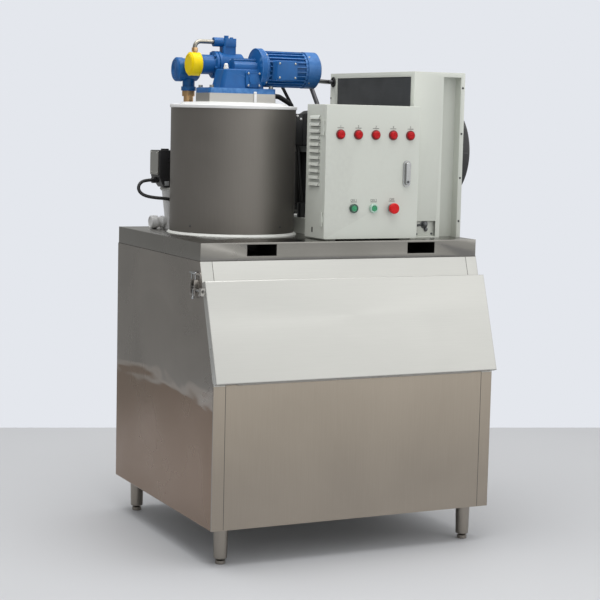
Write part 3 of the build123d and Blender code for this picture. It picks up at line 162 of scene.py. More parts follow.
# The lighter edge colours of the blue, yellow and black paints below are painted highlight.
PAINT_BLUE = Finish("paint_blue", (14, 82, 142), 0.4, 0.0, Grain.CAST, 0.03, 0.00012,
                    0.05, 0.08, 0.10, wear_and_highlight=0.35, wear_and_highlight_colour=(110, 160, 215), coat=0.05, specular=0.3)
PAINT_MOTOR = Finish("paint_motor_blue", (18, 84, 144), 0.4, 0.0, Grain.CAST, 0.03, 0.00010,
                     0.05, 0.07, 0.08, wear_and_highlight=0.30, wear_and_highlight_colour=(120, 165, 220), coat=0.05, specular=0.3)
PAINT_YELLOW = Finish("paint_yellow", (255, 196, 0), 0.4, 0.0, Grain.CAST, 0.02, 0.00008,
                      0.05, 0.05, 0.06, wear_and_highlight=0.2, wear_and_highlight_colour=(250, 232, 120), coat=0.04, specular=0.1)
PAINT_BLACK = Finish("paint_black", (30, 30, 32), 0.34, 0.0, Grain.CAST, 0.05, 0.00006,
                     0.06, 0.10, 0.10, wear_and_highlight=0.3, wear_and_highlight_colour=(88, 88, 90), coat=0.2)
PLASTIC_WHITE = Finish("plastic_white", (226, 226, 222), 0.45, 0.0, Grain.CAST, 0.01, 0.00003,
                       0.15, 0.03, 0.06)
# Painted light: a lighter copy of the white plastic, for the lid's top lit from above.
LID_WHITE_PAINTED_LIGHT = Finish("lid_white_painted_light", (244, 244, 240), 0.42, 0.0, Grain.CAST, 0.015, 0.00006, 0.10, 0.04, 0.08)
SEALANT = Finish("white_sealant", (206, 207, 202), 0.55, 0.0, Grain.CAST, 0.03, 0.00020, 0.04, 0.05)
PLASTIC_BLACK = Finish("plastic_black", (26, 26, 28), 0.42, 0.0, Grain.CAST, 0.05, 0.00005, 0.05, 0.08)
PLASTIC_GREY = Finish("plastic_grey", (150, 152, 152), 0.48, 0.0, Grain.CAST, 0.02, 0.00004, 0.05)
RUBBER = Finish("rubber_black", (28, 28, 28), 0.72, 0.0, Grain.CAST, 0.08, 0.00008, 0.04, 0.10)
SHEATH = Finish("cable_sheath", (30, 30, 31), 0.55, 0.0, Grain.CAST, 0.06, 0.00004, 0.03, 0.08)
LENS_RED = Finish("lens_red", (176, 12, 22), 0.16, 0.0, cloud_size=0.01, cloud_tone=0.05, coat=0.08,
                  specular=0.2)
STOP_RED = Finish("button_red", (206, 24, 28), 0.26, 0.0, cloud_size=0.01, cloud_tone=0.03, coat=0.08,
                  specular=0.2)
BUTTON_GREEN = Finish("button_green", (26, 142, 92), 0.26, 0.0, cloud_size=0.01, cloud_tone=0.05, coat=0.4)
# Painted shade: the condenser's fin pack is coloured dark for the shade between and behind its fins.
FIN_PACK_PAINTED_SHADE = Finish("fin_aluminium", (70, 72, 74), 0.62, 0.3, Grain.CAST, 0.08, 0.00002, 0.06, 0.12)
FIN_FACE_PAINTED_SHADE = Finish("fin_face_painted_shade", (66, 68, 70), 0.5, 0.3, Grain.ALONG_Y, 0.22, 0.00002, 0.10, 0.25)
LENS_RIM = Finish("lens_rim_red", (112, 14, 20), 0.3, 0.0, cloud_size=0.01, cloud_tone=0.05, coat=0.3)
RIM_DARK_GREEN = replace(LENS_RIM, name="rim_dark_green", colour=(16, 70, 52))
RIM_PALE_GREEN = replace(LENS_RIM, name="rim_pale_green", colour=(170, 202, 186), cloud_tone=0.04)
RECESS_METAL = Finish("recess_metal", (98, 100, 102), 0.4, 1.0, Grain.CAST, 0.04, 0.00002, 0.02)
# Print, and the painted shade inside the lock's key way.
INK_AND_SLOT_SHADE = Finish("ink_and_slot_shade", (52, 46, 44), 0.6, 0.0, cloud_size=0.005, cloud_tone=0.05)
# Dark joints, and the painted shadow under the skid.
JOINT_AND_GAP_SHADE = Finish("joint_and_gap_shade", (66, 62, 58), 0.6, 0.0, cloud_size=0.03, cloud_tone=0.1)
FLOOR = Finish("studio_floor", (196, 197, 199), 0.62, 0.0, Grain.CAST, 0.006, 0.0, 1.6, 0.010, 0.02)


def linear(colour: Colour) -> tuple[float, float, float, float]:
    """Returns the scene colour of an 8-bit display colour."""
    values = [c / 255 for c in colour]
    return tuple(v / 12.92 if v <= 0.04045 else ((v + 0.055) / 1.055) ** 2.4 for v in values) + (1.0,)


def toned(colour: Colour, factor: float) -> tuple[float, float, float, float]:
    """Returns the scene colour, made lighter or darker by a factor."""
    return tuple(min(1.0, c * factor) for c in linear(colour)[:3]) + (1.0,)


def plug(tree: Tree, value: object, socket: Socket) -> None:
    """Links a socket to another, or sets it where the value is a plain one."""
    if isinstance(value, Socket):
        tree.links.new(value, socket)
    else:
        socket.default_value = value


def combined(tree: Tree, operation: str, *values: object) -> Socket:
    """Returns the result of a math node whose inputs are sockets or numbers."""
    node = tree.nodes.new("ShaderNodeMath")
    node.operation = operation
    for socket, value in zip(node.inputs, values):
        plug(tree, value, socket)
    return node.outputs[0]


def ranged(tree: Tree, tone: Socket, low: float, high: float, to_low: float = 0.0,
           to_high: float = 1.0) -> Socket:
    """Returns a tone mapped from one range to another."""
    node = tree.nodes.new("ShaderNodeMapRange")
    for name, value in (("From Min", low), ("From Max", high), ("To Min", to_low), ("To Max", to_high)):
        node.inputs[name].default_value = value
    tree.links.new(tone, node.inputs["Value"])
    return node.outputs["Result"]


class Effects:
    """Node groups that several materials share."""

    # Noise cells for the wavy border of the painted floor reflection.
    reflection_band_cells = (2.4, 2.4, 11.0)

    def __init__(self) -> None:
        """Builds the groups once."""
        self.grain = self._grain()
        self.clouding = self._clouding()
        self.wear_and_highlight = self._wear_and_highlight()
        self.painted_floor_reflection = self._painted_floor_reflection()

    @staticmethod
    def _group(name: str, inputs: Sequence[tuple[str, str]], outputs: Sequence[str]) -> Tree:
        """Makes an empty group with named sockets.

        Args:
            name: the group's name.
            inputs: socket names with their kinds, such as "Float" or "Vector".
            outputs: names of the value sockets it puts out.

        Returns:
            The group with its input and output nodes, named "in" and "out".
        """
        group = bpy.data.node_groups.new(name, "ShaderNodeTree")
        for socket, kind in inputs:
            group.interface.new_socket(socket, in_out="INPUT", socket_type=f"NodeSocket{kind}")
        for socket in outputs:
            group.interface.new_socket(socket, in_out="OUTPUT", socket_type="NodeSocketFloat")
        group.nodes.new("NodeGroupInput").name = "in"
        group.nodes.new("NodeGroupOutput").name = "out"
        return group

    def _grain(self) -> Tree:
        """Fine noise stretched along one direction, for brushing, castings and orange peel."""
        group = self._group("surface_grain", [("Position", "Vector"), ("Cells", "Vector")], ["Tone"])
        source = group.nodes["in"].outputs
        noise = self._noise(group, self._stretched(group, source["Position"], source["Cells"]), 1.0, 3.0)
        group.links.new(noise, group.nodes["out"].inputs["Tone"])
        return group

    def _clouding(self) -> Tree:
        """Broad uneven patches from handling and wiping."""
        group = self._group("handling_clouds", [("Position", "Vector"), ("Size", "Float")], ["Tone"])
        source = group.nodes["in"].outputs
        scale = combined(group, "DIVIDE", 1.0, source["Size"])
        noise = self._noise(group, source["Position"], scale, 4.0, 0.6)
        group.links.new(ranged(group, noise, 0.3, 0.7), group.nodes["out"].inputs["Tone"])
        return group

    def _wear_and_highlight(self) -> Tree:
        """Colour along outward edges, broken up by noise: wear on the grey paint, a painted highlight on the
        paints whose edge colour is lighter, the blue, yellow and black ones.
        """
        group = self._group("edge_wear_and_highlight", [("Position", "Vector"), ("Amount", "Float")], ["Mask"])
        source = group.nodes["in"].outputs
        shape = group.nodes.new("ShaderNodeNewGeometry")
        edge = ranged(group, shape.outputs["Pointiness"], 0.53, 0.62)
        broken = combined(group, "MULTIPLY", edge, self._noise(group, source["Position"], 60.0, 2.0))
        amount = combined(group, "MULTIPLY", broken, source["Amount"])
        amount.node.use_clamp = True
        group.links.new(amount, group.nodes["out"].inputs["Mask"])
        return group

    def _painted_floor_reflection(self) -> Tree:
        """Painted reflection of the floor low on an upright sheet, with a wavy border that carries a lighter
        painted reflection band.
        """
        group = self._group("painted_floor_reflection", [("Position", "Vector"), ("Height", "Float"), ("Depth", "Float")],
                            ["Mask", "ReflectionBand"])
        source, result = group.nodes["in"].outputs, group.nodes["out"].inputs
        split = group.nodes.new("ShaderNodeSeparateXYZ")
        group.links.new(source["Position"], split.inputs[0])
        border_position = self._stretched(group, source["Position"], self.reflection_band_cells)
        noise = self._noise(group, border_position, 1.0, 2.0, 0.8)
        below = combined(group, "SUBTRACT", source["Height"], split.outputs["Z"])
        share = combined(group, "DIVIDE", below, source["Depth"])
        wobble = combined(group, "MULTIPLY_ADD", noise, 4.0, -2.0)
        mask = ranged(group, combined(group, "ADD", share, wobble), -0.6, 0.6)
        mask.node.interpolation_type = "SMOOTHSTEP"
        border = combined(group, "MULTIPLY", combined(group, "SUBTRACT", 1.0, mask), mask)
        group.links.new(mask, result["Mask"])
        group.links.new(combined(group, "MULTIPLY", border, 4.0), result["ReflectionBand"])
        return group

    @staticmethod
    def _stretched(group: Tree, position: Socket, cells: object) -> Socket:
        """Returns a position in noise cells, whose number per metre is a socket or three numbers."""
        node = group.nodes.new("ShaderNodeVectorMath")
        node.operation = "MULTIPLY"
        plug(group, position, node.inputs[0])
        plug(group, cells, node.inputs[1])
        return node.outputs[0]

    @staticmethod
    def _noise(group: Tree, position: Socket, scale: object, detail: float,
               distortion: float = 0.0) -> Socket:
        """Returns noise at a position, with a scale that is a socket or a number."""
        node = group.nodes.new("ShaderNodeTexNoise")
        node.inputs["Detail"].default_value = detail
        node.inputs["Distortion"].default_value = distortion
        plug(group, position, node.inputs["Vector"])
        plug(group, scale, node.inputs["Scale"])
        return node.outputs["Fac"]


class FinishShop:
    """Makes each finish's material once and gives it to pieces."""

    coat_roughness = 0.12

    def __init__(self) -> None:
        """Builds the shared effects."""
        self.effects = Effects()
        self.made: dict[str, bpy.types.Material] = {}

    def dress(self, piece: Piece, finish: Finish) -> None:
        """Gives a piece one finish all over."""
        material = self.material(finish)
        piece.data.materials.clear()
        piece.data.materials.append(material)
        if piece.type == "MESH":
            for face in piece.data.polygons:
                face.material_index = 0

    def dress_facing_painted_light(self, piece: Piece, finish: Finish, direction: Vector, within: float) -> None:
        """Gives a finish to the faces that look within some degrees of a direction, used to paint light:
        faces of one sheet get lighter or darker copies of its steel by the way they face.
        """
        piece.data.materials.append(self.material(finish))
        index = len(piece.data.materials) - 1
        for face in piece.data.polygons:
            if math.degrees(face.normal.angle(direction, math.pi)) < within:
                face.material_index = index

    def material(self, finish: Finish) -> bpy.types.Material:
        """Returns the material of a finish."""
        if finish.name not in self.made:
            self.made[finish.name] = self._build(finish)
        return self.made[finish.name]

    def _effect(self, tree: Tree, group: Tree, position: Socket, **values: object) -> Socket:
        """Places a shared effect in a material.

        Args:
            tree: the material's nodes.
            group: the effect.
            position: the socket that gives the point on the surface.
            values: the effect's other inputs by name.

        Returns:
            The effect's output socket.
        """
        node = tree.nodes.new("ShaderNodeGroup")
        node.node_tree = group
        tree.links.new(position, node.inputs["Position"])
        for name, value in values.items():
            node.inputs[name].default_value = value
        return node.outputs[0]

    def _mix(self, tree: Tree, factor: Socket, first: object,
             second: tuple[float, float, float, float]) -> Socket:
        """Returns a colour between two, the first of which may be a socket."""
        node = tree.nodes.new("ShaderNodeMix")
        node.data_type = "RGBA"
        tree.links.new(factor, node.inputs["Factor"])
        plug(tree, first, node.inputs[6])
        plug(tree, second, node.inputs[7])
        return node.outputs[2]

    def _build(self, finish: Finish) -> bpy.types.Material:
        """Returns a new material for a finish."""
        material = bpy.data.materials.new(finish.name)
        material.use_nodes = True
        tree = material.node_tree
        shader = tree.nodes["Principled BSDF"]
        place = tree.nodes.new("ShaderNodeTexCoord").outputs["Object"]
        cloud = self._effect(tree, self.effects.clouding, place, Size=finish.cloud_size)
        grain = self._effect(tree, self.effects.grain, place, Cells=finish.grain.value)
        tone = combined(tree, "ADD", ranged(tree, cloud, 0.0, 1.0, -finish.cloud_tone, finish.cloud_tone),
                        ranged(tree, grain, 0.0, 1.0, -finish.grain_tone, finish.grain_tone))
        factor = ranged(tree, tone, -0.5, 0.5)
        colour = self._mix(tree, factor, toned(finish.colour, 0.5), toned(finish.colour, 1.5))
        # Painted reflection: the floor's colour low on the sheet, and a lighter painted reflection band along
        # its border.
        if finish.floor_reflection_colour:
            foot = self._effect(tree, self.effects.painted_floor_reflection, place, Height=finish.floor_reflection_height,
                                Depth=finish.floor_reflection_depth)
            colour = self._mix(tree, foot, colour, linear(finish.floor_reflection_colour))
            reflection_band = ranged(tree, foot.node.outputs["ReflectionBand"], 0.0, 1.0, 0.0, finish.reflection_band)
            colour = self._mix(tree, reflection_band, colour, toned(finish.colour, 1.7))
        # Edge colour: wear on the grey paint, a painted highlight on the paints whose edge colour is lighter.
        if finish.wear_and_highlight:
            worn_and_lit_edge = self._effect(tree, self.effects.wear_and_highlight, place, Amount=finish.wear_and_highlight * 2)
            colour = self._mix(tree, worn_and_lit_edge, colour, linear(finish.wear_and_highlight_colour))
        tree.links.new(colour, shader.inputs["Base Color"])
        rough = ranged(tree, cloud, 0.0, 1.0, finish.roughness - finish.cloud_rough,
                       finish.roughness + finish.cloud_rough)
        tree.links.new(rough, shader.inputs["Roughness"])
        if finish.grain_depth:
            height = ranged(tree, grain, 0.0, 1.0, 0.0, finish.grain_depth)
            if finish.wave_depth:
                wave = self._effect(tree, self.effects.clouding, place, Size=finish.wave_size)
                height = combined(tree, "ADD", height, ranged(tree, wave, 0.0, 1.0, 0.0, finish.wave_depth))
            bump = tree.nodes.new("ShaderNodeBump")
            bump.inputs["Distance"].default_value = 1.0
            bump.inputs["Strength"].default_value = 1.0
            tree.links.new(height, bump.inputs["Height"])
            tree.links.new(bump.outputs["Normal"], shader.inputs["Normal"])
        for socket, value in (("Metallic", finish.metallic), ("Specular IOR Level", finish.specular),
                              ("Coat Weight", finish.coat), ("Coat Roughness", self.coat_roughness),
                              ("Anisotropic", finish.anisotropic)):
            shader.inputs[socket].default_value = value
        return material


SHOP: Optional[FinishShop] = None


# Modelling


def clear_selection() -> None:
    """Leaves nothing selected, in object mode."""
    if bpy.context.object and bpy.context.object.mode != "OBJECT":
        bpy.ops.object.mode_set(mode="OBJECT")
    bpy.ops.object.select_all(action="DESELECT")


def pick(*pieces: Piece) -> None:
    """Selects just these pieces and makes the first one active."""
    clear_selection()
    for piece in pieces:
        piece.select_set(True)
    bpy.context.view_layer.objects.active = pieces[0]


def settle(piece: Piece) -> Piece:
    """Moves a piece's place into its mesh."""
    pick(piece)
    bpy.ops.object.transform_apply(location=True, rotation=True, scale=True)
    return piece


def named(piece: Piece, name: str) -> Piece:
    """Names a piece and its mesh."""
    piece.name = name
    piece.data.name = name
    return piece


def rounded(piece: Piece, width: float, segments: int = 2, angle: float = 35.0) -> Piece:
    """Bevels a piece's sharp edges and smooths what is left, by angle."""
    pick(piece)
    if width:
        bevel = piece.modifiers.new("edges", "BEVEL")
        bevel.width = width
        bevel.segments = segments
        bevel.limit_method = "ANGLE"
        bevel.angle_limit = math.radians(angle)
        bevel.harden_normals = False
        bpy.ops.object.modifier_apply(modifier=bevel.name)
    bpy.ops.object.shade_smooth_by_angle(angle=math.radians(angle))
    return piece


def block(low: Vector, high: Vector, edge: float = 0.0008) -> Piece:
    """A box between two corners with broken edges."""
    clear_selection()
    bpy.ops.mesh.primitive_cube_add(size=1.0, location=(low + high) / 2, scale=high - low)
    return rounded(settle(bpy.context.object), edge)


def upright(direction: Vector) -> Matrix:
    """Returns the turn that takes +Z to a direction."""
    return direction.to_track_quat("Z", "Y").to_matrix().to_4x4()


def rod(start: Vector, end: Vector, radius: float, sides: int = 32, edge: float = 0.0008) -> Piece:
    """A round bar from one point to another, or a hexagonal one with six sides."""
    clear_selection()
    span = end - start
    bpy.ops.mesh.primitive_cylinder_add(vertices=sides, radius=radius, depth=span.length,
                                        location=(start + end) / 2, rotation=upright(span).to_euler())
    return rounded(settle(bpy.context.object), edge)


def hoop(centre: Vector, axis: Vector, radius: float, wire: float, around: int = 64,
         across: int = 8) -> Piece:
    """A ring of round wire."""
    clear_selection()
    bpy.ops.mesh.primitive_torus_add(location=centre, rotation=upright(axis).to_euler(), major_radius=radius,
                                     minor_radius=wire, major_segments=around, minor_segments=across)
    return rounded(settle(bpy.context.object), 0.0, angle=60.0)


def drawn(places: Sequence[Vector]) -> Piece:
    """Draws a line of edges through points, and stays in edit mode."""
    clear_selection()
    bpy.ops.mesh.primitive_plane_add(size=0.001)
    piece = bpy.context.object
    bpy.ops.object.mode_set(mode="EDIT")
    bpy.ops.mesh.select_all(action="SELECT")
    bpy.ops.mesh.merge(type="CENTER")
    bpy.ops.transform.translate(value=places[0])
    for here, there in zip(places, places[1:]):
        bpy.ops.mesh.extrude_region_move(TRANSFORM_OT_translate={"value": there - here})
    return piece


def turning(origin: Vector, axis: Vector, profile: Sequence[tuple[float, float]],
            steps: int = 48, edge: float = 0.0) -> Piece:
    """A turned piece.

    Args:
        origin: a point on its axis.
        axis: the axis, along which the profile's first numbers run.
        profile: (along, radius) points in millimetres, the first and last on the axis for a solid.
        steps: faces round it.
        edge: width of the broken edges.

    Returns:
        The piece, closed and facing outwards.
    """
    piece = drawn([Vector((radius, 0.0, along)) * MM for along, radius in profile])
    bpy.ops.mesh.select_all(action="SELECT")
    bpy.ops.mesh.spin(steps=steps, angle=2 * math.pi, center=(0, 0, 0), axis=(0, 0, 1), use_auto_merge=True)
    bpy.ops.mesh.select_all(action="SELECT")
    bpy.ops.mesh.remove_doubles(threshold=0.00002)
    bpy.ops.mesh.normals_make_consistent(inside=False)
    bpy.ops.object.mode_set(mode="OBJECT")
    piece.matrix_world = Matrix.Translation(origin) @ upright(axis)
    return rounded(settle(piece), edge)


def bar(start: Vector, across: Vector, up: Vector, along: Vector,
        section: Sequence[tuple[float, float]], edge: float = 0.0) -> Piece:
    """A bar or plate of one section.

    Args:
        start: the section's origin.
        across: the section's first direction.
        up: its second direction.
        along: the bar's length, as a vector in metres.
        section: (across, up) points in millimetres, in order round it.
        edge: width of the broken edges.

    Returns:
        The closed bar.
    """
    piece = drawn([start + (across * u + up * v) * MM for u, v in section])
    bpy.ops.mesh.select_all(action="SELECT")
    bpy.ops.mesh.edge_face_add()
    bpy.ops.mesh.extrude_region_move(TRANSFORM_OT_translate={"value": along})
    bpy.ops.mesh.select_all(action="SELECT")
    bpy.ops.mesh.normals_make_consistent(inside=False)
    bpy.ops.object.mode_set(mode="OBJECT")
    return rounded(settle(piece), edge)


def outline(width: float, height: float, corner: float, steps: int = 6) -> list[tuple[float, float]]:
    """Returns a centred rectangle with round corners, in millimetres."""
    points = []
    for turn, (x, y) in enumerate(((1, 1), (-1, 1), (-1, -1), (1, -1))):
        for step in range(steps + 1):
            angle = math.radians(90 * (turn + step / steps))
            points.append((x * (width / 2 - corner) + corner * math.cos(angle),
                           y * (height / 2 - corner) + corner * math.sin(angle)))
    return points


def collar(seat: Vector, axis: Vector, section: Sequence[tuple[float, float]], steps: int = 40) -> Piece:
    """A ring turned from a closed (along, radius) section in millimetres."""
    return turning(seat, axis, [*section, section[0]], steps)


def printed(text: str, middle: Vector, height: float) -> Piece:
    """Printed characters on a face that looks to the front."""
    clear_selection()
    bpy.ops.object.text_add(location=middle, rotation=(math.pi / 2, 0.0, 0.0))
    label = bpy.context.object
    label.data.body = text
    label.data.size = height
    label.data.align_x = "CENTER"
    label.data.align_y = "CENTER"
    label.data.extrude = 0.0001
    bpy.ops.object.convert(target="MESH")
    return settle(bpy.context.object)


def join(parts: Sequence[Piece]) -> Piece:
    """Joins pieces of one finish into one."""
    pick(*parts)
    if len(parts) > 1:
        bpy.ops.object.join()
    return bpy.context.object


def repeated(model: Piece, shifts: Iterable[Vector]) -> Piece:
    """Copies one piece to each shift from its own place, with its own mesh, and joins them."""
    copies = []
    for shift in shifts:
        pick(model)
        bpy.ops.object.duplicate(linked=False)
        copy = bpy.context.object
        copy.location = shift
        copies.append(settle(copy))
    bpy.data.objects.remove(model)
    return join(copies)


def hexagon_bolt(seat: Vector, axis: Vector, across: float, height: float, washer: bool = True) -> Piece:
    """A hexagon head with its washer, on a seat.

    Args:
        seat: the middle of the face it is tightened on.
        axis: the way the head stands off.
        across: the head's width across corners.
        height: the head's height.
        washer: whether a washer lies under it.

    Returns:
        The bolt.
    """
    out = axis.normalized()
    base = seat + out * (0.0012 if washer else 0.0)
    parts = [rod(base - out * 0.0005, base + out * height, across / 2, 6, 0.0006)]
    if washer:
        parts.append(rod(seat - out * 0.0004, base, across * 0.68, 24, 0.0003))
    return join(parts)


def screw(seat: Vector, axis: Vector, radius: float) -> Piece:
    """A pan head screw with a cross recess, on a seat."""
    out = axis.normalized()
    reach = radius / MM
    head = turning(seat, out, [(-0.2, 0.0), (-0.2, reach), (reach * 0.35, reach * 0.95),
                               (reach * 0.62, reach * 0.6), (reach * 0.7, 0.0)], 20)
    side = out.orthogonal().normalized()
    bars = []
    for way in (side, out.cross(side)):
        middle = seat + out * radius * 0.72
        half = way * radius * 0.55
        bars.append(rod(middle - half, middle + half, radius * 0.12, 6, 0.0))
    return join([head, *bars])


def merged_copy(node: str, edge: float = 0.0, angle: float = 32.0) -> Piece:
    """A CAD node's own shape as one smooth mesh, standing for the node.

    Args:
        node: the CAD node.
        edge: width of its broken edges.
        angle: edges sharper than this stay sharp or are broken.

    Returns:
        The copy.
    """
    source = bpy.data.objects[node]
    piece = source.copy()
    piece.data = source.data.copy()
    piece.parent = None
    for key in list(piece.keys()):
        del piece[key]
    bpy.context.scene.collection.objects.link(piece)
    pick(piece)
    if piece.data.has_custom_normals:
        bpy.ops.mesh.customdata_custom_splitnormals_clear()
    bpy.ops.object.mode_set(mode="EDIT")
    bpy.ops.mesh.select_all(action="SELECT")
    bpy.ops.mesh.remove_doubles(threshold=0.00001)
    bpy.ops.mesh.dissolve_limited(angle_limit=math.radians(0.4))
    bpy.ops.object.mode_set(mode="OBJECT")
    rounded(settle(named(piece, f"{node}_shape")), edge, 2, angle)
    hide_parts(node)
    return piece


def finished(name: str, parts: Union[Piece, Sequence[Piece]], finish: Finish, slot: str,
             body: str = "machine") -> Piece:
    """Joins parts, names and dresses the piece, puts it on its body and reports it."""
    piece = named(parts if isinstance(parts, Piece) else join(parts), name)
    SHOP.dress(piece, finish)
    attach(piece, body)
    log.info("%s: %s on %s", piece.name, finish.name, body)
    return piece


# Copies of the CAD nodes


@dataclass
class CopiedNode:
    """A CAD node shown as a smooth copy of itself."""

    node: str
    finish: Finish
    slot: str
    body: str = "machine"
    edge: float = 0.0
    angle: float = 32.0
    facing: tuple[tuple[Finish, Point], ...] = ()
    slack: float = 0.0

    def build(self) -> Piece:
        """Returns the dressed copy."""
        piece = merged_copy(self.node, self.edge, self.angle)
        if self.slack:
            pick(piece)
            bpy.ops.object.mode_set(mode="EDIT")
            bpy.ops.mesh.select_all(action="SELECT")
            bpy.ops.transform.shrink_fatten(value=-self.slack)
            bpy.ops.object.mode_set(mode="OBJECT")
        finished(piece.name, piece, self.finish, self.slot, self.body)
        # Painted light: faces get lighter or darker copies of the steel by the way they face.
        for finish, direction in self.facing:
            SHOP.dress_facing_painted_light(piece, finish, Vector(direction), FACING_ANGLE)
        return piece


# Painted light: faces of the bin's side sheets get the front copy or the brighter slanted copy of the steel,
# by the way they face.
FACING_ANGLE = 14.0
SIDE_EDGES_PAINTED_LIGHT = ((STAINLESS_FRONT_PAINTED_LIGHT, (0.0, -1.0, 0.0)), (STAINLESS_SLANT_PAINTED_LIGHT, (0.0, -0.95, 0.32)))
# Left-facing faces get the steel with the painted floor reflection.
LEFT_SKIN = (STAINLESS_SIDE_PAINTED_REFLECTION, (-1.0, 0.0, 0.0))
PLAIN_NODES = [
    CopiedNode("bin_side_left", STAINLESS_SHEET, "stainless", facing=(LEFT_SKIN, *SIDE_EDGES_PAINTED_LIGHT)),
    CopiedNode("bin_side_right", STAINLESS_SHEET, "stainless", facing=SIDE_EDGES_PAINTED_LIGHT),
    CopiedNode("bin_back", STAINLESS_SHEET, "stainless", edge=0.0015),
    CopiedNode("bin_floor", STAINLESS_PLAIN, "stainless"),
    # Painted light: the front panel, header and door take the front copy and the brighter slanted copy of the
    # steel.
    CopiedNode("bin_front_panel", STAINLESS_FRONT_PAINTED_LIGHT, "stainless"),
    CopiedNode("bin_header", STAINLESS_SLANT_PAINTED_LIGHT, "stainless"),
    CopiedNode("bin_top", STAINLESS_PLAIN, "stainless"),
    CopiedNode("door_gasket", RUBBER, "gasket_rubber"),
    CopiedNode("legs", LEG_STEEL, "leg_steel"),
    CopiedNode("leg_feet", LEG_STEEL, "leg_steel"),
    CopiedNode("bin_door", STAINLESS_SLANT_PAINTED_LIGHT, "stainless", "bin_door", edge=0.0012),
    CopiedNode("door_fittings", STAINLESS_PLAIN, "stainless", "bin_door"),
    CopiedNode("hinge_leaf_fixed", STAINLESS_PLAIN, "stainless"),
    CopiedNode("latch_base", STAINLESS_SHEET, "stainless", edge=0.0006),
    CopiedNode("latch_bolt", CHROME, "bright_steel", "latch_bolt"),
    CopiedNode("skid_frame", STAINLESS_SKID, "stainless", edge=0.0012),
    CopiedNode("ice_chute", PLASTIC_WHITE, "white_plastic"),
    CopiedNode("drum_jacket", STAINLESS_DRUM, "drum_steel"),
    CopiedNode("evaporator", STAINLESS_DRUM, "drum_steel"),
    # Painted light: the lid takes the lighter copy of the white plastic.
    CopiedNode("drum_lid", LID_WHITE_PAINTED_LIGHT, "white_plastic", edge=0.0008),
    CopiedNode("spindle", STAINLESS_PLAIN, "drum_steel", "ice_rotor", slack=0.00015),
    CopiedNode("scraper", STAINLESS_PLAIN, "drum_steel", "ice_rotor"),
    CopiedNode("water_distributor", PLASTIC_WHITE, "white_plastic", "ice_rotor"),
    CopiedNode("pedestal", STAINLESS_PLAIN, "stainless"),
    CopiedNode("gearbox_housing", PAINT_BLUE, "gear_blue", edge=0.0012),
    CopiedNode("gearbox_cover", PAINT_BLUE, "gear_blue", edge=0.0008),
    CopiedNode("motor_body", PAINT_MOTOR, "gear_blue"),
    CopiedNode("motor_terminal_box", PAINT_MOTOR, "gear_blue"),
    CopiedNode("motor_fan_cover", PAINT_MOTOR, "gear_blue"),
    CopiedNode("motor_fan", PLASTIC_BLACK, "black_plastic", "motor_rotor"),
    CopiedNode("feed_pump", PAINT_BLUE, "gear_blue", edge=0.0008),
    CopiedNode("feed_pump_cap", PAINT_YELLOW, "cap_yellow"),
    CopiedNode("feed_pump_head", PAINT_BLUE, "gear_blue", edge=0.0008),
    CopiedNode("feed_fitting", BRASS, "fitting_brass", edge=0.0006),
    CopiedNode("feed_pipe", PIPE_DULL, "bright_steel"),
    CopiedNode("compressor", PAINT_BLACK, "black_paint"),
    CopiedNode("compressor_box", PLASTIC_BLACK, "black_plastic"),
    CopiedNode("compressor_tray", PAINT_GREY, "tray_grey"),
    CopiedNode("receiver", PAINT_BLACK, "black_paint"),
    CopiedNode("refrigerant_pipes", TUBE_STEEL, "pipe_steel"),
    CopiedNode("insulated_hoses", FOAM_SLEEVE, "hose_black"),
    CopiedNode("condenser_casing", PAINT_GREY, "cabinet_grey", edge=0.0008),
    # Painted shade: the coil takes the dark fin colour.
    CopiedNode("condenser_coil", FIN_PACK_PAINTED_SHADE, "fin_aluminium"),
    CopiedNode("fan_guard", PAINT_BLACK, "black_paint"),
    CopiedNode("fan_motor", PAINT_BLACK, "black_paint"),
    CopiedNode("fan_blades", PLASTIC_BLACK, "black_plastic", "condenser_fan"),
    CopiedNode("control_box", PAINT_GREY, "cabinet_grey"),
    CopiedNode("control_gear", PLASTIC_GREY, "switch_grey"),
    CopiedNode("control_door", PAINT_GREY, "cabinet_grey", "control_door"),
    CopiedNode("lamps", LENS_RED, "lamp_red", "control_door"),
    CopiedNode("panel_bezels", CHROME, "bright_steel", "control_door"),
    CopiedNode("start_button", BUTTON_GREEN, "button_green", "start_button"),
    CopiedNode("run_button", BUTTON_GREEN, "button_green", "run_button"),
    CopiedNode("estop_head", STOP_RED, "stop_red", "estop_head"),
    CopiedNode("lock_handle", CHROME, "bright_steel", "lock_handle"),
    CopiedNode("pump_motor", PAINT_BLACK, "black_paint"),
    CopiedNode("pump_cover", ZINC, "fin_aluminium"),
    CopiedNode("pump_casing", PLASTIC_WHITE, "white_plastic"),
    CopiedNode("water_pipes", PLASTIC_WHITE, "white_plastic"),
]


# Cable


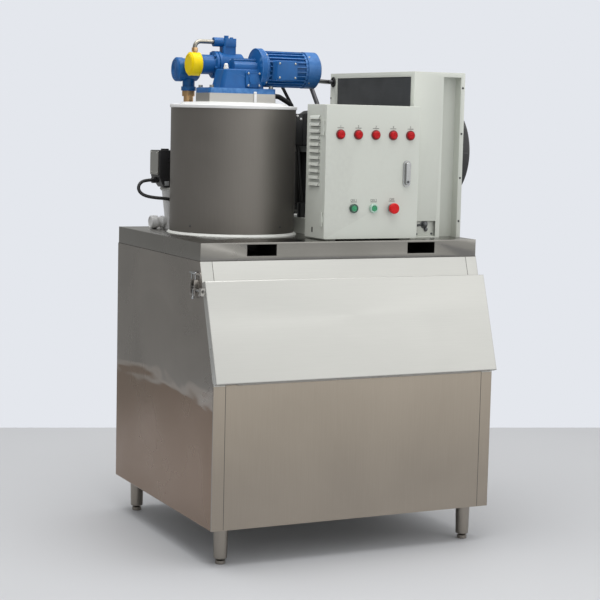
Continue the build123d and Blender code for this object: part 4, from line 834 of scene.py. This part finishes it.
@dataclass
class PumpCable:
    """The circulation pump's cable, which loops out and goes down into the skid."""

    diameter: float = 0.013
    length: float = 0.399
    route: tuple[Point, ...] = ((-479, 375, 1341), (-512, 375, 1340), (-535, 370, 1327), (-543, 363, 1306),
                                (-532, 355, 1287), (-508, 347, 1277), (-472, 338, 1272), (-434, 331, 1270),
                                (-398, 333, 1260), (-366, 346, 1240), (-344, 372, 1214), (-335, 408, 1186),
                                (-335, 408, 1157))

    def build(self) -> None:
        curve = bpy.data.curves.new("pump_cable_run", "CURVE")
        curve.dimensions = "3D"
        curve.bevel_depth = self.diameter / 2
        curve.bevel_resolution = 6
        curve.resolution_u = 16
        curve.use_fill_caps = True
        spline = curve.splines.new("NURBS")
        spline.points.add(len(self.route) - 1)
        for control, point in zip(spline.points, self.route):
            control.co = (*Site.at(*point), 1.0)
        spline.order_u = 3
        spline.use_endpoint_u = True
        piece = bpy.data.objects.new("pump_cable_run", curve)
        bpy.context.scene.collection.objects.link(piece)
        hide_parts("pump_cable")
        finished("pump_cable_run", piece, SHEATH, "cable_sheath")
        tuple(Site.at(*self.route[0]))


# Details


@dataclass
class BinDetails:
    """Dark joints between the bin's sheets, and a painted shadow line under the skid."""

    joint_x: float = 527.0
    joint_width: float = 1.8
    front_y: float = -500.0
    foot_z: float = 140.0
    knee_z: float = 656.0
    top_y: float = -357.0
    top_z: float = 1084.0
    skid_x: float = 573.0
    skid_back: float = 498.0
    proud: float = 0.25
    sunk: float = 0.5

    def build(self) -> None:
        """Draws the joints, and the painted shadow under the skid, as thin dark lines, a hair proud of the
        sheets.
        """
        half, proud, sunk = self.joint_width / 2, self.proud, self.sunk
        lines = []
        rise = Site.at(0, self.top_y, self.top_z) - Site.at(0, self.front_y, self.knee_z)
        out = rise.cross(RIGHT).normalized()
        out = out if out.y < 0 else -out
        for x in (-self.joint_x, self.joint_x):
            lines.append(block(Site.at(x - half, self.front_y - proud, self.foot_z),
                               Site.at(x + half, self.front_y + sunk, self.knee_z), 0.0))
            lines.append(bar(Site.at(x, self.front_y, self.knee_z), RIGHT, out, rise,
                             [(-half, -sunk), (half, -sunk), (half, proud), (-half, proud)]))
        # Painted shadow: dark strips under the skid's front and sides stand for the shade in the gap beneath
        # it.
        lines.append(block(Site.at(-self.skid_x, self.top_y - 0.5, self.top_z - 0.6),
                           Site.at(self.skid_x, self.top_y + 1, self.top_z + 1.4), 0.0))
        for x in (-self.skid_x, self.skid_x):
            lines.append(block(Site.at(x - 0.5, self.top_y, self.top_z - 0.6),
                               Site.at(x + 0.5, self.skid_back, self.top_z + 1.4), 0.0))
        finished("sheet_joints_and_skid_shade", lines, JOINT_AND_GAP_SHADE, "gasket_rubber")


@dataclass
class LatchDetails:
    """Bright handle loop of the latch on the bin's left side, and the plate's screws."""

    x: float = -586.0
    plate_x: float = -577.5
    rod_y: tuple[float, float] = (-347.0, -315.0)
    rod_radius: float = 0.0032
    bar_back: float = -299.0
    bar_z: float = 1042.0
    bar_radius: float = 0.005
    foot_z: float = 992.5
    screw_y: tuple[float, float] = (-365.0, -313.0)
    screw_z: tuple[float, float] = (966.0, 1036.0)

    def build(self) -> None:
        """Makes the cross bar, its two rods and their foot, which stays clear of the bolt."""
        front, back = self.rod_y
        parts = [rod(self.at(front - 5, self.bar_z), self.at(self.bar_back, self.bar_z), self.bar_radius, 24,
                     0.0012),
                 rod(self.at(front, self.foot_z), self.at(back, self.foot_z), self.rod_radius, 16)]
        for y in self.rod_y:
            parts.append(rod(self.at(y, self.foot_z), self.at(y, self.bar_z), self.rod_radius, 16))
            parts.append(rod(self.at(y, self.bar_z - 3), Site.at(self.plate_x + 0.5, y, self.bar_z - 3),
                             0.0035, 16))
        finished("latch_loop", parts, CHROME, "bright_steel")
        screws = [screw(Site.at(self.plate_x, y, z), LEFT, 0.0038)
                  for y in self.screw_y for z in self.screw_z]
        finished("latch_screws", screws, ZINC, "bright_steel")

    def at(self, y: float, z: float) -> Vector:
        """Returns a point in the loop's plane."""
        return Site.at(self.x, y, z)


@dataclass
class DrumDetails:
    """Sealant at the drum's foot and under the drive, the jacket's lap joint and its rivets."""

    x: float = -242.5
    y: float = 127.0
    radius: float = 241.5
    foot_z: float = 1149.0
    lid_z: float = 1650.0
    bead: Outline = ((0.1, 243.7), (6.2, 243.7), (6.4, 241.8), (8.0, 241.8),
                     (8.4, 243.5), (6.0, 246.5), (3.0, 249.0), (0.1, 252.0))
    pedestal: tuple[float, float, float, float] = (-373.0, -93.0, 63.0, 201.0)
    pedestal_bead: float = 0.0026
    lap_half: float = 10.0
    lap_thickness: float = 1.0
    lap_z: tuple[float, float] = (1159.0, 1621.0)
    foot_rivets: tuple[float, ...] = (26.0, 116.0, 206.0, 296.0)
    foot_rivet_z: float = 1184.0
    lap_rivet_z: float = 1190.0
    lap_rivet_pitch: float = 70.0
    lap_rivets: int = 6

    def build(self) -> None:
        """Makes the beads, the joint and the rivets."""
        foot = collar(Site.at(self.x, self.y, self.foot_z), UP, self.bead, 96)
        finished("drum_seal", foot, SEALANT, "white_plastic")
        left, right, front, back = self.pedestal
        corners = [Site.at(x, y, self.lid_z + 0.6)
                   for x, y in ((left, front), (right, front), (right, back), (left, back))]
        beads = [rod(here, there, self.pedestal_bead, 10, 0.0)
                 for here, there in zip(corners, corners[1:] + corners[:1])]
        finished("pedestal_seal", beads, SEALANT, "white_plastic")
        behind = self.y + self.radius
        low, high = self.lap_z
        lap = block(Site.at(self.x - self.lap_half, behind - 0.6, low),
                    Site.at(self.x + self.lap_half, behind + self.lap_thickness, high), 0.0004)
        finished("jacket_lap", lap, STAINLESS_DRUM, "drum_steel")
        rivets = [screw(self.around(angle, self.foot_rivet_z), self.outward(angle), 0.0036)
                  for angle in self.foot_rivets]
        for i in range(self.lap_rivets):
            seat = Site.at(self.x, behind + self.lap_thickness, self.lap_rivet_z + self.lap_rivet_pitch * i)
            rivets.append(screw(seat, BACK, 0.0034))
        finished("jacket_rivets", rivets, RECESS_METAL, "drum_steel")

    def outward(self, degrees: float) -> Vector:
        """Returns the direction out of the drum, from the front towards the right."""
        angle = math.radians(degrees)
        return Vector((math.sin(angle), -math.cos(angle), 0.0))

    def around(self, degrees: float, z: float) -> Vector:
        """Returns a point on the jacket."""
        return Site.at(self.x, self.y, z) + self.outward(degrees) * self.radius * MM


@dataclass
class DriveDetails:
    """Bolts, lids and fittings of the gearbox and its motor."""

    plate_z: float = 1706.0
    plate_bolts: tuple[tuple[float, float], ...] = ((-357, 77), (-357, 187), (-109, 77), (-109, 187))
    cover: Point = (-185.0, 68.5, 1741.0)
    cover_reach: float = 23.0
    motor_y: float = 127.0
    motor_z: float = 1784.0
    flange_x: float = -134.0
    flange_rims: tuple[float, float] = (-155.0, -135.0)
    hood_x: float = 54.0
    lid_x: tuple[float, float] = (-109.0, -25.0)
    lid_y: float = 22.2
    lid_z: tuple[float, float] = (1741.0, 1813.0)
    lid_inset: float = 9.0
    breather: Point = (-290.0, 97.0, 1786.0)
    strap: Point = (-181.0, 62.6, 1669.0)
    screw_radius: float = 0.0042

    def build(self) -> None:
        """Makes the small parts of the drive."""
        bolts = [hexagon_bolt(Site.at(x, y, self.plate_z), UP, 0.017, 0.009) for x, y in self.plate_bolts]
        finished("base_plate_bolts", bolts, ZINC, "bright_steel")
        finished("gearbox_screws", self.screws(), ZINC, "bright_steel")
        self.lid()
        self.fittings()

    def screws(self) -> list[Piece]:
        """Returns the screws of the bearing cover, the terminal box, the fan cover and the flange."""
        x, y, z = self.cover
        reach = (-self.cover_reach, self.cover_reach)
        places = [(x + dx, y, z + dz) for dx in reach for dz in reach]
        (left, right), (low, high), inset = self.lid_x, self.lid_z, self.lid_inset
        places += [(x, self.lid_y - 4.6, z) for x in (left + inset, right - inset)
                   for z in (low + inset, high - inset)]
        made = [screw(Site.at(*place), FRONT, self.screw_radius) for place in places]
        for angle in (45, 135, 225, 315):
            out = Vector((0.0, math.cos(math.radians(angle)), math.sin(math.radians(angle))))
            made.append(screw(self.on_axis(self.hood_x) + out * 0.071, out, 0.0034))
            made.append(hexagon_bolt(self.on_axis(self.flange_x) + out * 0.0738, RIGHT, 0.009, 0.006, False))
        return made

    def on_axis(self, x: float) -> Vector:
        """Returns a point on the motor's axis."""
        return Site.at(x, self.motor_y, self.motor_z)

    def lid(self) -> None:
        """The terminal box's lid, with the flange's rims in the same paint."""
        (left, right), (low, high) = self.lid_x, self.lid_z
        lid = bar(Site.at((left + right) / 2, self.lid_y, (low + high) / 2), RIGHT, UP,
                  FRONT * 0.0046, outline(right - left, high - low, 12.0), 0.0012)
        rims = [hoop(self.on_axis(x), RIGHT, 0.0765, 0.0022) for x in self.flange_rims]
        finished("terminal_box_lid", [lid, *rims], PAINT_MOTOR, "gear_blue")

    def fittings(self) -> None:
        """The gearbox's white breather and the strap that hangs from its foot."""
        seat = Site.at(*self.breather)
        breather = [rod(seat + DOWN * 0.008, seat, 0.010, 6),
                    turning(seat, UP, [(0, 0), (0, 8), (9, 8), (13, 5), (14, 0)], 24)]
        finished("breather", breather, PLASTIC_WHITE, "white_plastic")
        x, y, z = self.strap
        strap = bar(Site.at(x, y, z), RIGHT, UP, FRONT * 0.0012, outline(11, 46, 4), 0.0003)
        knot = block(Site.at(x - 7, y - 2.2, z + 17), Site.at(x + 6, y, z + 25), 0.0015)
        finished("hanging_strap", [strap, knot], PLASTIC_WHITE, "white_plastic")


@dataclass
class FeedDetails:
    """Ribs, bolts and rims of the feed unit."""

    axis_y: float = 240.0
    axis_z: float = 1797.0
    flange_x: float = -286.0
    bolts: int = 6
    bolt_circle: float = 0.0455
    head: Point = (-407.0, 331.0, 1777.0)
    head_rings: tuple[float, ...] = (0.037, 0.029, 0.021, 0.013)
    cap_rims: tuple[tuple[float, float], ...] = ((-388.0, 0.033), (-381.5, 0.0448), (-346.5, 0.0448))

    def build(self) -> None:
        """Makes the flange bolts and the ringed end faces."""
        bolts = []
        for turn in range(self.bolts):
            angle = math.radians(360 / self.bolts * turn + 15)
            out = Vector((0.0, math.cos(angle), math.sin(angle))) * self.bolt_circle
            seat = Site.at(self.flange_x, self.axis_y, self.axis_z) + out
            bolts.append(hexagon_bolt(seat, LEFT, 0.010, 0.006))
        finished("feed_flange_bolts", bolts, PAINT_BLUE, "gear_blue")
        rings = [hoop(Site.at(*self.head), LEFT, radius, 0.0016) for radius in self.head_rings]
        finished("feed_head_ribs", rings, PAINT_BLUE, "gear_blue")
        rims = [hoop(Site.at(x, self.axis_y, self.axis_z), LEFT, radius, 0.0012)
                for x, radius in self.cap_rims]
        finished("cap_rims", rims, PAINT_YELLOW, "cap_yellow")


@dataclass
class ControlDetails:
    """Louvre hoods, lamp and button rims, printed numbers and the lock's trim on the control box."""

    face_y: float = -331.0
    side_x: float = -71.0
    first_lamp_x: float = -11.5
    lamp_pitch: float = 73.75
    lamps: int = 5
    lamp_z: float = 1542.0
    lamp_rim: Outline = ((0.0, 15.05), (4.6, 15.05), (5.2, 15.7), (5.0, 17.7), (3.4, 18.7), (0.0, 18.7))
    lens_rings: tuple[float, float] = (0.0092, 0.0045)
    button_x: tuple[float, float] = (50.0, 134.0)
    stop_x: float = 212.0
    button_z: float = 1269.0
    button_rim: Outline = ((0.0, 15.1), (0.0, 16.8), (8.4, 16.8), (9.9, 15.4), (9.9, 11.8), (9.2, 11.8),
                           (9.2, 15.1))
    print_rise: float = 30.0
    print_height: float = 0.0115
    line_rise: float = 23.0
    line_height: float = 1.8
    line_half: float = 13.0
    lock: tuple[float, float] = (272.0, 1399.0)
    key_slot: Point = (-71.0, -233.0, 1185.0)
    louvres_down: int = 11
    louvre_z: float = 1347.0
    louvre_pitch: float = 24.5
    louvre_y: tuple[float, float] = (-284.0, -202.0)
    hood: Outline = ((-0.3, 18.0), (4.2, 14.6), (6.9, 9.4), (7.8, 2.6), (6.8, 2.4), (5.8, 8.8), (3.4, 13.4),
                     (-0.3, 16.4))
    cheek: Outline = ((-0.3, 18.0), (4.2, 14.6), (6.9, 9.4), (7.8, 2.6), (-0.3, 2.6))

    def build(self) -> None:
        """Makes the hoods, rims, numbers and trim."""
        self.louvres()
        self.rims()
        self.prints()
        self.trim()

    def louvres(self) -> None:
        """Pressed hoods over the slots in the left side."""
        front, back = self.louvre_y
        hood = [bar(Site.at(self.side_x, front, self.louvre_z), LEFT, UP,
                    BACK * (back - front) * MM, self.hood)]
        hood += [bar(Site.at(self.side_x, y, self.louvre_z), LEFT, UP, BACK * MM, self.cheek)
                 for y in (front, back - 1.0)]
        hoods = repeated(join(hood), [UP * self.louvre_pitch * i * MM for i in range(self.louvres_down)])
        finished("louvre_hoods", hoods, PAINT_GREY, "cabinet_grey")

    def rims(self) -> None:
        """Coloured rims round the lamps and buttons, and a ring in each lens."""
        places = self.lamp_places()
        rims = [collar(Site.at(x, self.face_y, self.lamp_z), FRONT, self.lamp_rim) for x in places]
        finished("lamp_rims", rims, LENS_RIM, "lamp_red", "control_door")
        rings = [hoop(Site.at(x, self.face_y - 11, self.lamp_z), FRONT, radius, 0.0009, 40)
                 for x in places for radius in self.lens_rings]
        finished("lens_rings", rings, STOP_RED, "lamp_red", "control_door")
        for x, name, finish in zip(self.button_x, ("start_rim", "run_rim"), (RIM_DARK_GREEN, RIM_PALE_GREEN)):
            rim = collar(Site.at(x, self.face_y, self.button_z), FRONT, self.button_rim)
            finished(name, rim, finish, "button_green", "control_door")

    def lamp_places(self) -> list[float]:
        """Returns the lamps' places across the door."""
        return [self.first_lamp_x + self.lamp_pitch * i for i in range(self.lamps)]

    def prints(self) -> None:
        """Numbers over the lamps, and ON and OFF over the buttons, each over a thin line."""
        marks = [(x, self.lamp_z, str(i + 1)) for i, x in enumerate(self.lamp_places())]
        marks += [(x, self.button_z, f"ON {i + 1}") for i, x in enumerate(self.button_x)]
        marks.append((self.stop_x, self.button_z + 3, "OFF"))
        parts = []
        for x, z, text in marks:
            foot = z + self.line_rise
            parts.append(printed(text, Site.at(x, self.face_y - 0.1, z + self.print_rise), self.print_height))
            parts.append(block(Site.at(x - self.line_half, self.face_y - 0.2, foot),
                               Site.at(x + self.line_half, self.face_y + 0.1, foot + self.line_height), 0.0))
        finished("panel_prints", parts, INK_AND_SLOT_SHADE, "black_plastic", "control_door")

    def trim(self) -> None:
        """The lock's recess, its key barrel and the key slot in the box's side, the key slot and the key way
        dark for the painted shade inside them.
        """
        x, z = self.lock
        recess = bar(Site.at(x, self.face_y - 5.02, z), RIGHT, UP, FRONT * 0.0002, outline(23.0, 90.0, 11.4))
        finished("lock_recess", recess, ZINC, "bright_steel", "control_door")
        barrel = turning(Site.at(x, self.face_y - 14.2, z - 31), FRONT,
                         [(-0.5, 0), (-0.5, 5.6), (0.6, 5.6), (1.2, 4.8), (1.2, 0)], 24)
        finished("key_barrel", barrel, RECESS_METAL, "bright_steel", "lock_handle")
        # Painted shade: a black oval stands for the shade inside the key slot.
        slot = bar(Site.at(*self.key_slot), BACK, UP, LEFT * 0.0005, outline(11, 21, 5.4))
        finished("key_slot", slot, PAINT_BLACK, "black_plastic")
        # Painted shade: a dark bar stands for the shade inside the key way.
        way = block(Site.at(x - 0.7, self.face_y - 15.6, z - 35),
                    Site.at(x + 0.7, self.face_y - 15.2, z - 27), 0.0)
        finished("key_way", way, INK_AND_SLOT_SHADE, "black_plastic", "lock_handle")


@dataclass
class CondenserDetails:
    """Screws, valve corner, grommet and the guard's fine wires."""

    left: float = 350.0
    front: float = -235.0
    right: float = 575.0
    back: float = 472.0
    front_screws_z: tuple[float, ...] = (1727.0, 1551.0, 1380.0, 1212.0)
    side_screws_z: tuple[float, ...] = (1170.0, 1467.0, 1764.0)
    screw_radius: float = 0.0042
    fins: tuple[Point, Point] = ((352.2, -206.5, 1159.5), (354.8, 409.5, 1764.5))
    valve_y: float = -222.0
    valve_plate: tuple[Point, Point] = ((376.0, -222.0, 1151.0), (466.0, -219.0, 1214.0))
    valve_lip: tuple[Point, Point] = ((376.0, -234.0, 1151.2), (466.0, -219.0, 1154.0))
    valve: tuple[float, float] = (418.0, 1199.0)
    grommet: Point = (350.0, 446.0, 1750.0)
    grommet_ring: Outline = ((-1.0, 12.4), (3.0, 12.4), (4.5, 14.0), (4.5, 19.0), (3.0, 21.0), (-1.0, 21.0))
    fan: tuple[float, float] = (33.0, 1475.0)
    wire_radius: float = 0.0019
    dome_wires: int = 18
    face_wires: Outline = ((661, 176), (663, 168), (665, 151), (666, 139), (667, 127), (668, 99), (669, 87),
                           (669, 75), (670, 48), (670, 36), (670, 24))

    def build(self) -> None:
        """Makes the condenser's small parts."""
        self.screws()
        # Painted shade: a dark sheet over the coil's face stands for the shaded fin pack.
        low, high = self.fins
        finished("coil_fins", block(Site.at(*low), Site.at(*high), 0.0), FIN_FACE_PAINTED_SHADE, "fin_aluminium")
        self.service_valve()
        grommet = collar(Site.at(*self.grommet), LEFT, self.grommet_ring)
        finished("pipe_grommet", grommet, RUBBER, "gasket_rubber")
        self.guard_wires()

    def screws(self) -> None:
        """The casing's dark screws on its front, back, right and left edges."""
        seats = [((566, self.front, z), FRONT) for z in self.front_screws_z]
        seats += [((x, self.back, z), BACK) for x in (362, 563) for z in self.side_screws_z]
        seats += [((self.right, y, z), RIGHT) for y in (-224, 460) for z in self.side_screws_z]
        screws = [screw(Site.at(*seat), out, self.screw_radius) for seat, out in seats]
        screws += [screw(Site.at(self.left, 466, z), LEFT, 0.0038) for z in (1684, 1600)]
        finished("casing_screws", screws, PAINT_BLACK, "black_paint")

    def service_valve(self) -> None:
        """The valve in the casing's low corner, on its plate."""
        plates = [block(Site.at(*low), Site.at(*high), 0.0008)
                  for low, high in (self.valve_plate, self.valve_lip)]
        finished("valve_plate", plates, PAINT_GREY, "cabinet_grey")
        y = self.valve_y
        seat = Site.at(self.valve[0], y, self.valve[1])
        valve = [hexagon_bolt(seat, FRONT, 0.024, 0.008),
                 turning(seat, FRONT, [(7, 0), (7, 8), (14, 8), (16, 5), (16, 0)], 24),
                 rod(seat + LEFT * 0.004, seat + LEFT * 0.03 + DOWN * 0.004, 0.0045, 16),
                 hexagon_bolt(Site.at(426, y, 1180), FRONT, 0.013, 0.006),
                 screw(Site.at(386, y, 1162), FRONT, 0.004),
                 screw(Site.at(452, y, 1163), FRONT, 0.004)]
        finished("service_valve", valve, RECESS_METAL, "bright_steel")

    def guard_wires(self) -> None:
        """Fine rings between the guard's main rings, on the inner side of its spokes."""
        places = [(581 + 4 * i, 198.3 - 0.6 * i) for i in range(self.dome_wires)]
        wires = [hoop(Site.at(x, *self.fan), RIGHT, radius * MM, self.wire_radius, 72, 6)
                 for x, radius in (*places, *self.face_wires)]
        finished("guard_wires", wires, PAINT_BLACK, "black_paint")


@dataclass
class PumpDetails:
    """Trim of the water pump and its white fittings."""

    cover_x: float = -471.0
    cover_screws: tuple[tuple[float, float], ...] = ((346, 1371), (346, 1449), (414, 1371), (414, 1449))
    seal: tuple[Point, Point] = ((-467.8, 334.8, 1361.0), (-466.6, 425.0, 1459.0))
    field: tuple[Point, Point] = ((-443.0, 333.3, 1320.0), (-424.0, 334.2, 1338.0))
    clamp_foot: Point = (-400.0, 380.0, 1303.0)
    clamp: Outline = ((0.0, 38.3), (9.0, 38.3), (9.0, 40.5), (6.0, 41.5), (3.0, 41.5), (0.0, 40.5))
    pipe: tuple[float, float] = (380.0, 1175.0)

    def build(self) -> None:
        """Makes the cover's seal and screws, the plain field, the clamp and the union nut."""
        seal = block(*(Site.at(*corner) for corner in self.seal), 0.0003)
        finished("pump_cover_seal", seal, PLASTIC_BLACK, "black_plastic")
        screws = [screw(Site.at(self.cover_x, y, z), LEFT, 0.004) for y, z in self.cover_screws]
        finished("pump_cover_screws", screws, ZINC, "bright_steel")
        field = block(*(Site.at(*corner) for corner in self.field), 0.0003)
        finished("pump_field", field, PLASTIC_GREY, "switch_grey")
        clamp = collar(Site.at(*self.clamp_foot), UP, self.clamp, 48)
        finished("pump_clamp", clamp, ZINC, "bright_steel")
        nut = [rod(Site.at(-474, *self.pipe), Site.at(-456, *self.pipe), 0.0262, 12, 0.0012),
               hoop(Site.at(-483, *self.pipe), LEFT, 0.0218, 0.0016, 40),
               rod(Site.at(-440, *self.pipe), Site.at(-430, *self.pipe), 0.0245, 32, 0.0015)]
        finished("union_nut", nut, PLASTIC_WHITE, "white_plastic")


@dataclass
class CompressorDetails:
    """What shows of the compressor between the drum and the control box."""

    band_foot: Point = (115.0, 130.0, 1466.0)
    band: Outline = ((0.0, 88.2), (24.0, 88.2), (24.0, 89.6), (0.0, 89.6))
    covers: tuple[tuple[Point, Point], ...] = (((-24.0, 38.0, 1494.0), (13.5, 84.0, 1614.0)),
                                               ((17.0, 52.0, 1210.2), (40.0, 82.0, 1268.0)))
    screws: tuple[Point, Point] = ((-11.0, 38.0, 1606.0), (4.0, 38.0, 1594.0))
    conduit: tuple[Point, Point] = ((29.0, 66.0, 1267.0), (4.0, 62.0, 1495.0))

    def build(self) -> None:
        """Makes the clamp band, the box's side part with its screws, and the wiring conduit."""
        band = collar(Site.at(*self.band_foot), UP, self.band, 64)
        finished("compressor_band", band, PLASTIC_GREY, "switch_grey")
        covers = [block(Site.at(*low), Site.at(*high), 0.002) for low, high in self.covers]
        finished("switch_cover", covers, PLASTIC_BLACK, "black_plastic")
        screws = [screw(Site.at(*seat), FRONT, 0.0048) for seat in self.screws]
        finished("switch_screws", screws, PLASTIC_WHITE, "white_plastic")
        foot, top = self.conduit
        conduit = rod(Site.at(*foot), Site.at(*top), 0.007, 20)
        finished("wiring_conduit", conduit, PLASTIC_BLACK, "black_plastic")


# Studio


@dataclass
class Studio:
    """Pale floor, even light and the photograph's viewpoint."""

    position: Point = (-2794.2, -5721.6, 1602.7)
    yaw: float = 26.025
    pitch: float = 6.375
    roll: float = 1.319
    lens: float = 98.37
    sensor: float = 36.0
    floor_row: float = 0.7127
    floor_width: float = 9.0
    floor_depth: float = 6.5
    backdrop: Colour = (228, 231, 237)
    bright_side: Point = (0.8, -0.6, 0.0)
    shade_span: tuple[float, float] = (-0.6, 0.7)
    ambient_tint: tuple[float, float, float, float] = (0.97, 0.98, 1.0, 1.0)
    ambient: float = 0.85
    ambient_shade: float = 0.55
    mirrored_tint: tuple[float, float, float, float] = (0.80, 0.80, 0.78, 1.0)
    mirrored: float = 1.15
    mirrored_shade: float = 0.36
    front_light: tuple = ((3.4, -5.0, 3.6), (0.0, 0.0, 0.9), (5.0, 3.6), 48.0)
    top_light: tuple = ((-0.4, -0.2, 4.4), (0.0, 0.0, 0.6), (4.0, 3.4), 150.0)

    def build(self) -> None:
        """Sets up the camera, the light and the floor."""
        self.camera()
        self.world()
        self.lamps()
        self.floor()
        bpy.context.scene.view_settings.view_transform = "Standard"

    def axes(self) -> tuple[Vector, Vector, Vector]:
        """Returns the camera's right, up and forward directions."""
        yaw, pitch, roll = (math.radians(a) for a in (self.yaw, self.pitch, self.roll))
        forward = Vector((math.sin(yaw) * math.cos(pitch), math.cos(yaw) * math.cos(pitch), -math.sin(pitch)))
        level = Vector((math.cos(yaw), -math.sin(yaw), 0.0))
        over = level.cross(forward)
        right = math.cos(roll) * level + math.sin(roll) * over
        up = -math.sin(roll) * level + math.cos(roll) * over
        return right, up, forward

    def camera(self) -> None:
        """Places the camera where the photograph was taken."""
        right, up, forward = self.axes()
        data = bpy.data.cameras.new("studio_camera")
        data.lens = self.lens
        data.sensor_width = self.sensor
        data.dof.use_dof = False
        camera = bpy.data.objects.new("studio_camera", data)
        turn = Matrix((right, up, -forward)).transposed().to_4x4()
        camera.matrix_world = Matrix.Translation(Site.at(*self.position)) @ turn
        bpy.context.scene.collection.objects.link(camera)
        bpy.context.scene.camera = camera

    def world(self) -> None:
        """Soft surroundings, darker behind the machine's left, and a plain backdrop for the eye."""
        world = bpy.data.worlds.new("studio_world")
        bpy.context.scene.world = world
        world.use_nodes = True
        nodes, links = world.node_tree.nodes, world.node_tree.links
        nodes.clear()
        direction = nodes.new("ShaderNodeTexCoord")
        toward = nodes.new("ShaderNodeVectorMath")
        toward.operation = "DOT_PRODUCT"
        toward.inputs[1].default_value = self.bright_side
        links.new(direction.outputs["Generated"], toward.inputs[0])
        path = nodes.new("ShaderNodeLightPath")
        mixed = None
        kinds = (("Is Diffuse Ray", self.ambient_tint, self.ambient, self.ambient_shade),
                 ("Is Glossy Ray", self.mirrored_tint, self.mirrored, self.mirrored_shade),
                 ("Is Camera Ray", linear(self.backdrop), 1.0, 1.0))
        for kind, tint, strength, shade in kinds:
            level = ranged(world.node_tree, toward.outputs["Value"], *self.shade_span, strength * shade,
                           strength)
            level.node.interpolation_type = "SMOOTHSTEP"
            light = nodes.new("ShaderNodeBackground")
            light.inputs["Color"].default_value = tint
            links.new(level, light.inputs["Strength"])
            if mixed is None:
                mixed = light.outputs[0]
                continue
            mix = nodes.new("ShaderNodeMixShader")
            links.new(path.outputs[kind], mix.inputs[0])
            links.new(mixed, mix.inputs[1])
            links.new(light.outputs[0], mix.inputs[2])
            mixed = mix.outputs[0]
        output = nodes.new("ShaderNodeOutputWorld")
        links.new(mixed, output.inputs["Surface"])

    def lamp(self, name: str, place: Point, target: Point, size: tuple[float, float], power: float) -> None:
        """Hangs a soft rectangular lamp and aims it.

        Args:
            name: the lamp's name.
            place: where it hangs, in metres about the bin's middle.
            target: what it is aimed at.
            size: its width and height.
            power: its power in watts.
        """
        data = bpy.data.lights.new(name, "AREA")
        data.shape = "RECTANGLE"
        data.size, data.size_y = size
        data.energy = power
        lamp = bpy.data.objects.new(name, data)
        lamp.location = Site.middle + Vector(place)
        aim = Site.middle + Vector(target) - lamp.location
        lamp.rotation_mode = "QUATERNION"
        lamp.rotation_quaternion = aim.to_track_quat("-Z", "Y")
        bpy.context.scene.collection.objects.link(lamp)

    def lamps(self) -> None:
        """A broad front light from the right, and one overhead."""
        self.lamp("front_light", *self.front_light)
        self.lamp("top_light", *self.top_light)

    def ground(self, across: float, down: float) -> Vector:
        """Returns the floor point seen at a place in the picture, from 0 to 1 across and down."""
        right, up, forward = self.axes()
        reach = self.sensor / self.lens
        ray = forward + right * (across - 0.5) * reach + up * (0.5 - down) * reach
        eye = Site.at(*self.position)
        return eye + ray * (-eye.z / ray.z)

    def floor(self) -> None:
        """Lays the floor so that its far edge is level where the photograph has it."""
        left, right = self.ground(0.0, self.floor_row), self.ground(1.0, self.floor_row)
        along = (right - left).normalized()
        behind = Vector((-along.y, along.x, 0.0))
        clear_selection()
        bpy.ops.mesh.primitive_plane_add(size=1.0)
        floor = bpy.context.object
        floor.scale = (self.floor_width, self.floor_depth, 1.0)
        floor.location = (left + right) / 2 - behind * self.floor_depth / 2
        floor.rotation_euler = (0.0, 0.0, math.atan2(along.y, along.x))
        settle(named(floor, "studio_floor"))
        SHOP.dress(floor, FLOOR)


def main() -> None:
    """Builds the machine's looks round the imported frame."""
    global SHOP
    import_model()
    Site.settle()
    SHOP = FinishShop()
    Studio().build()
    PumpCable().build()
    for node in PLAIN_NODES:
        node.build()
    for assembly in (BinDetails(), LatchDetails(), DrumDetails(), DriveDetails(), FeedDetails(),
                     ControlDetails(), CondenserDetails(), PumpDetails(), CompressorDetails()):
        assembly.build()
    clear_selection()


if __name__ == "__main__":
    main()
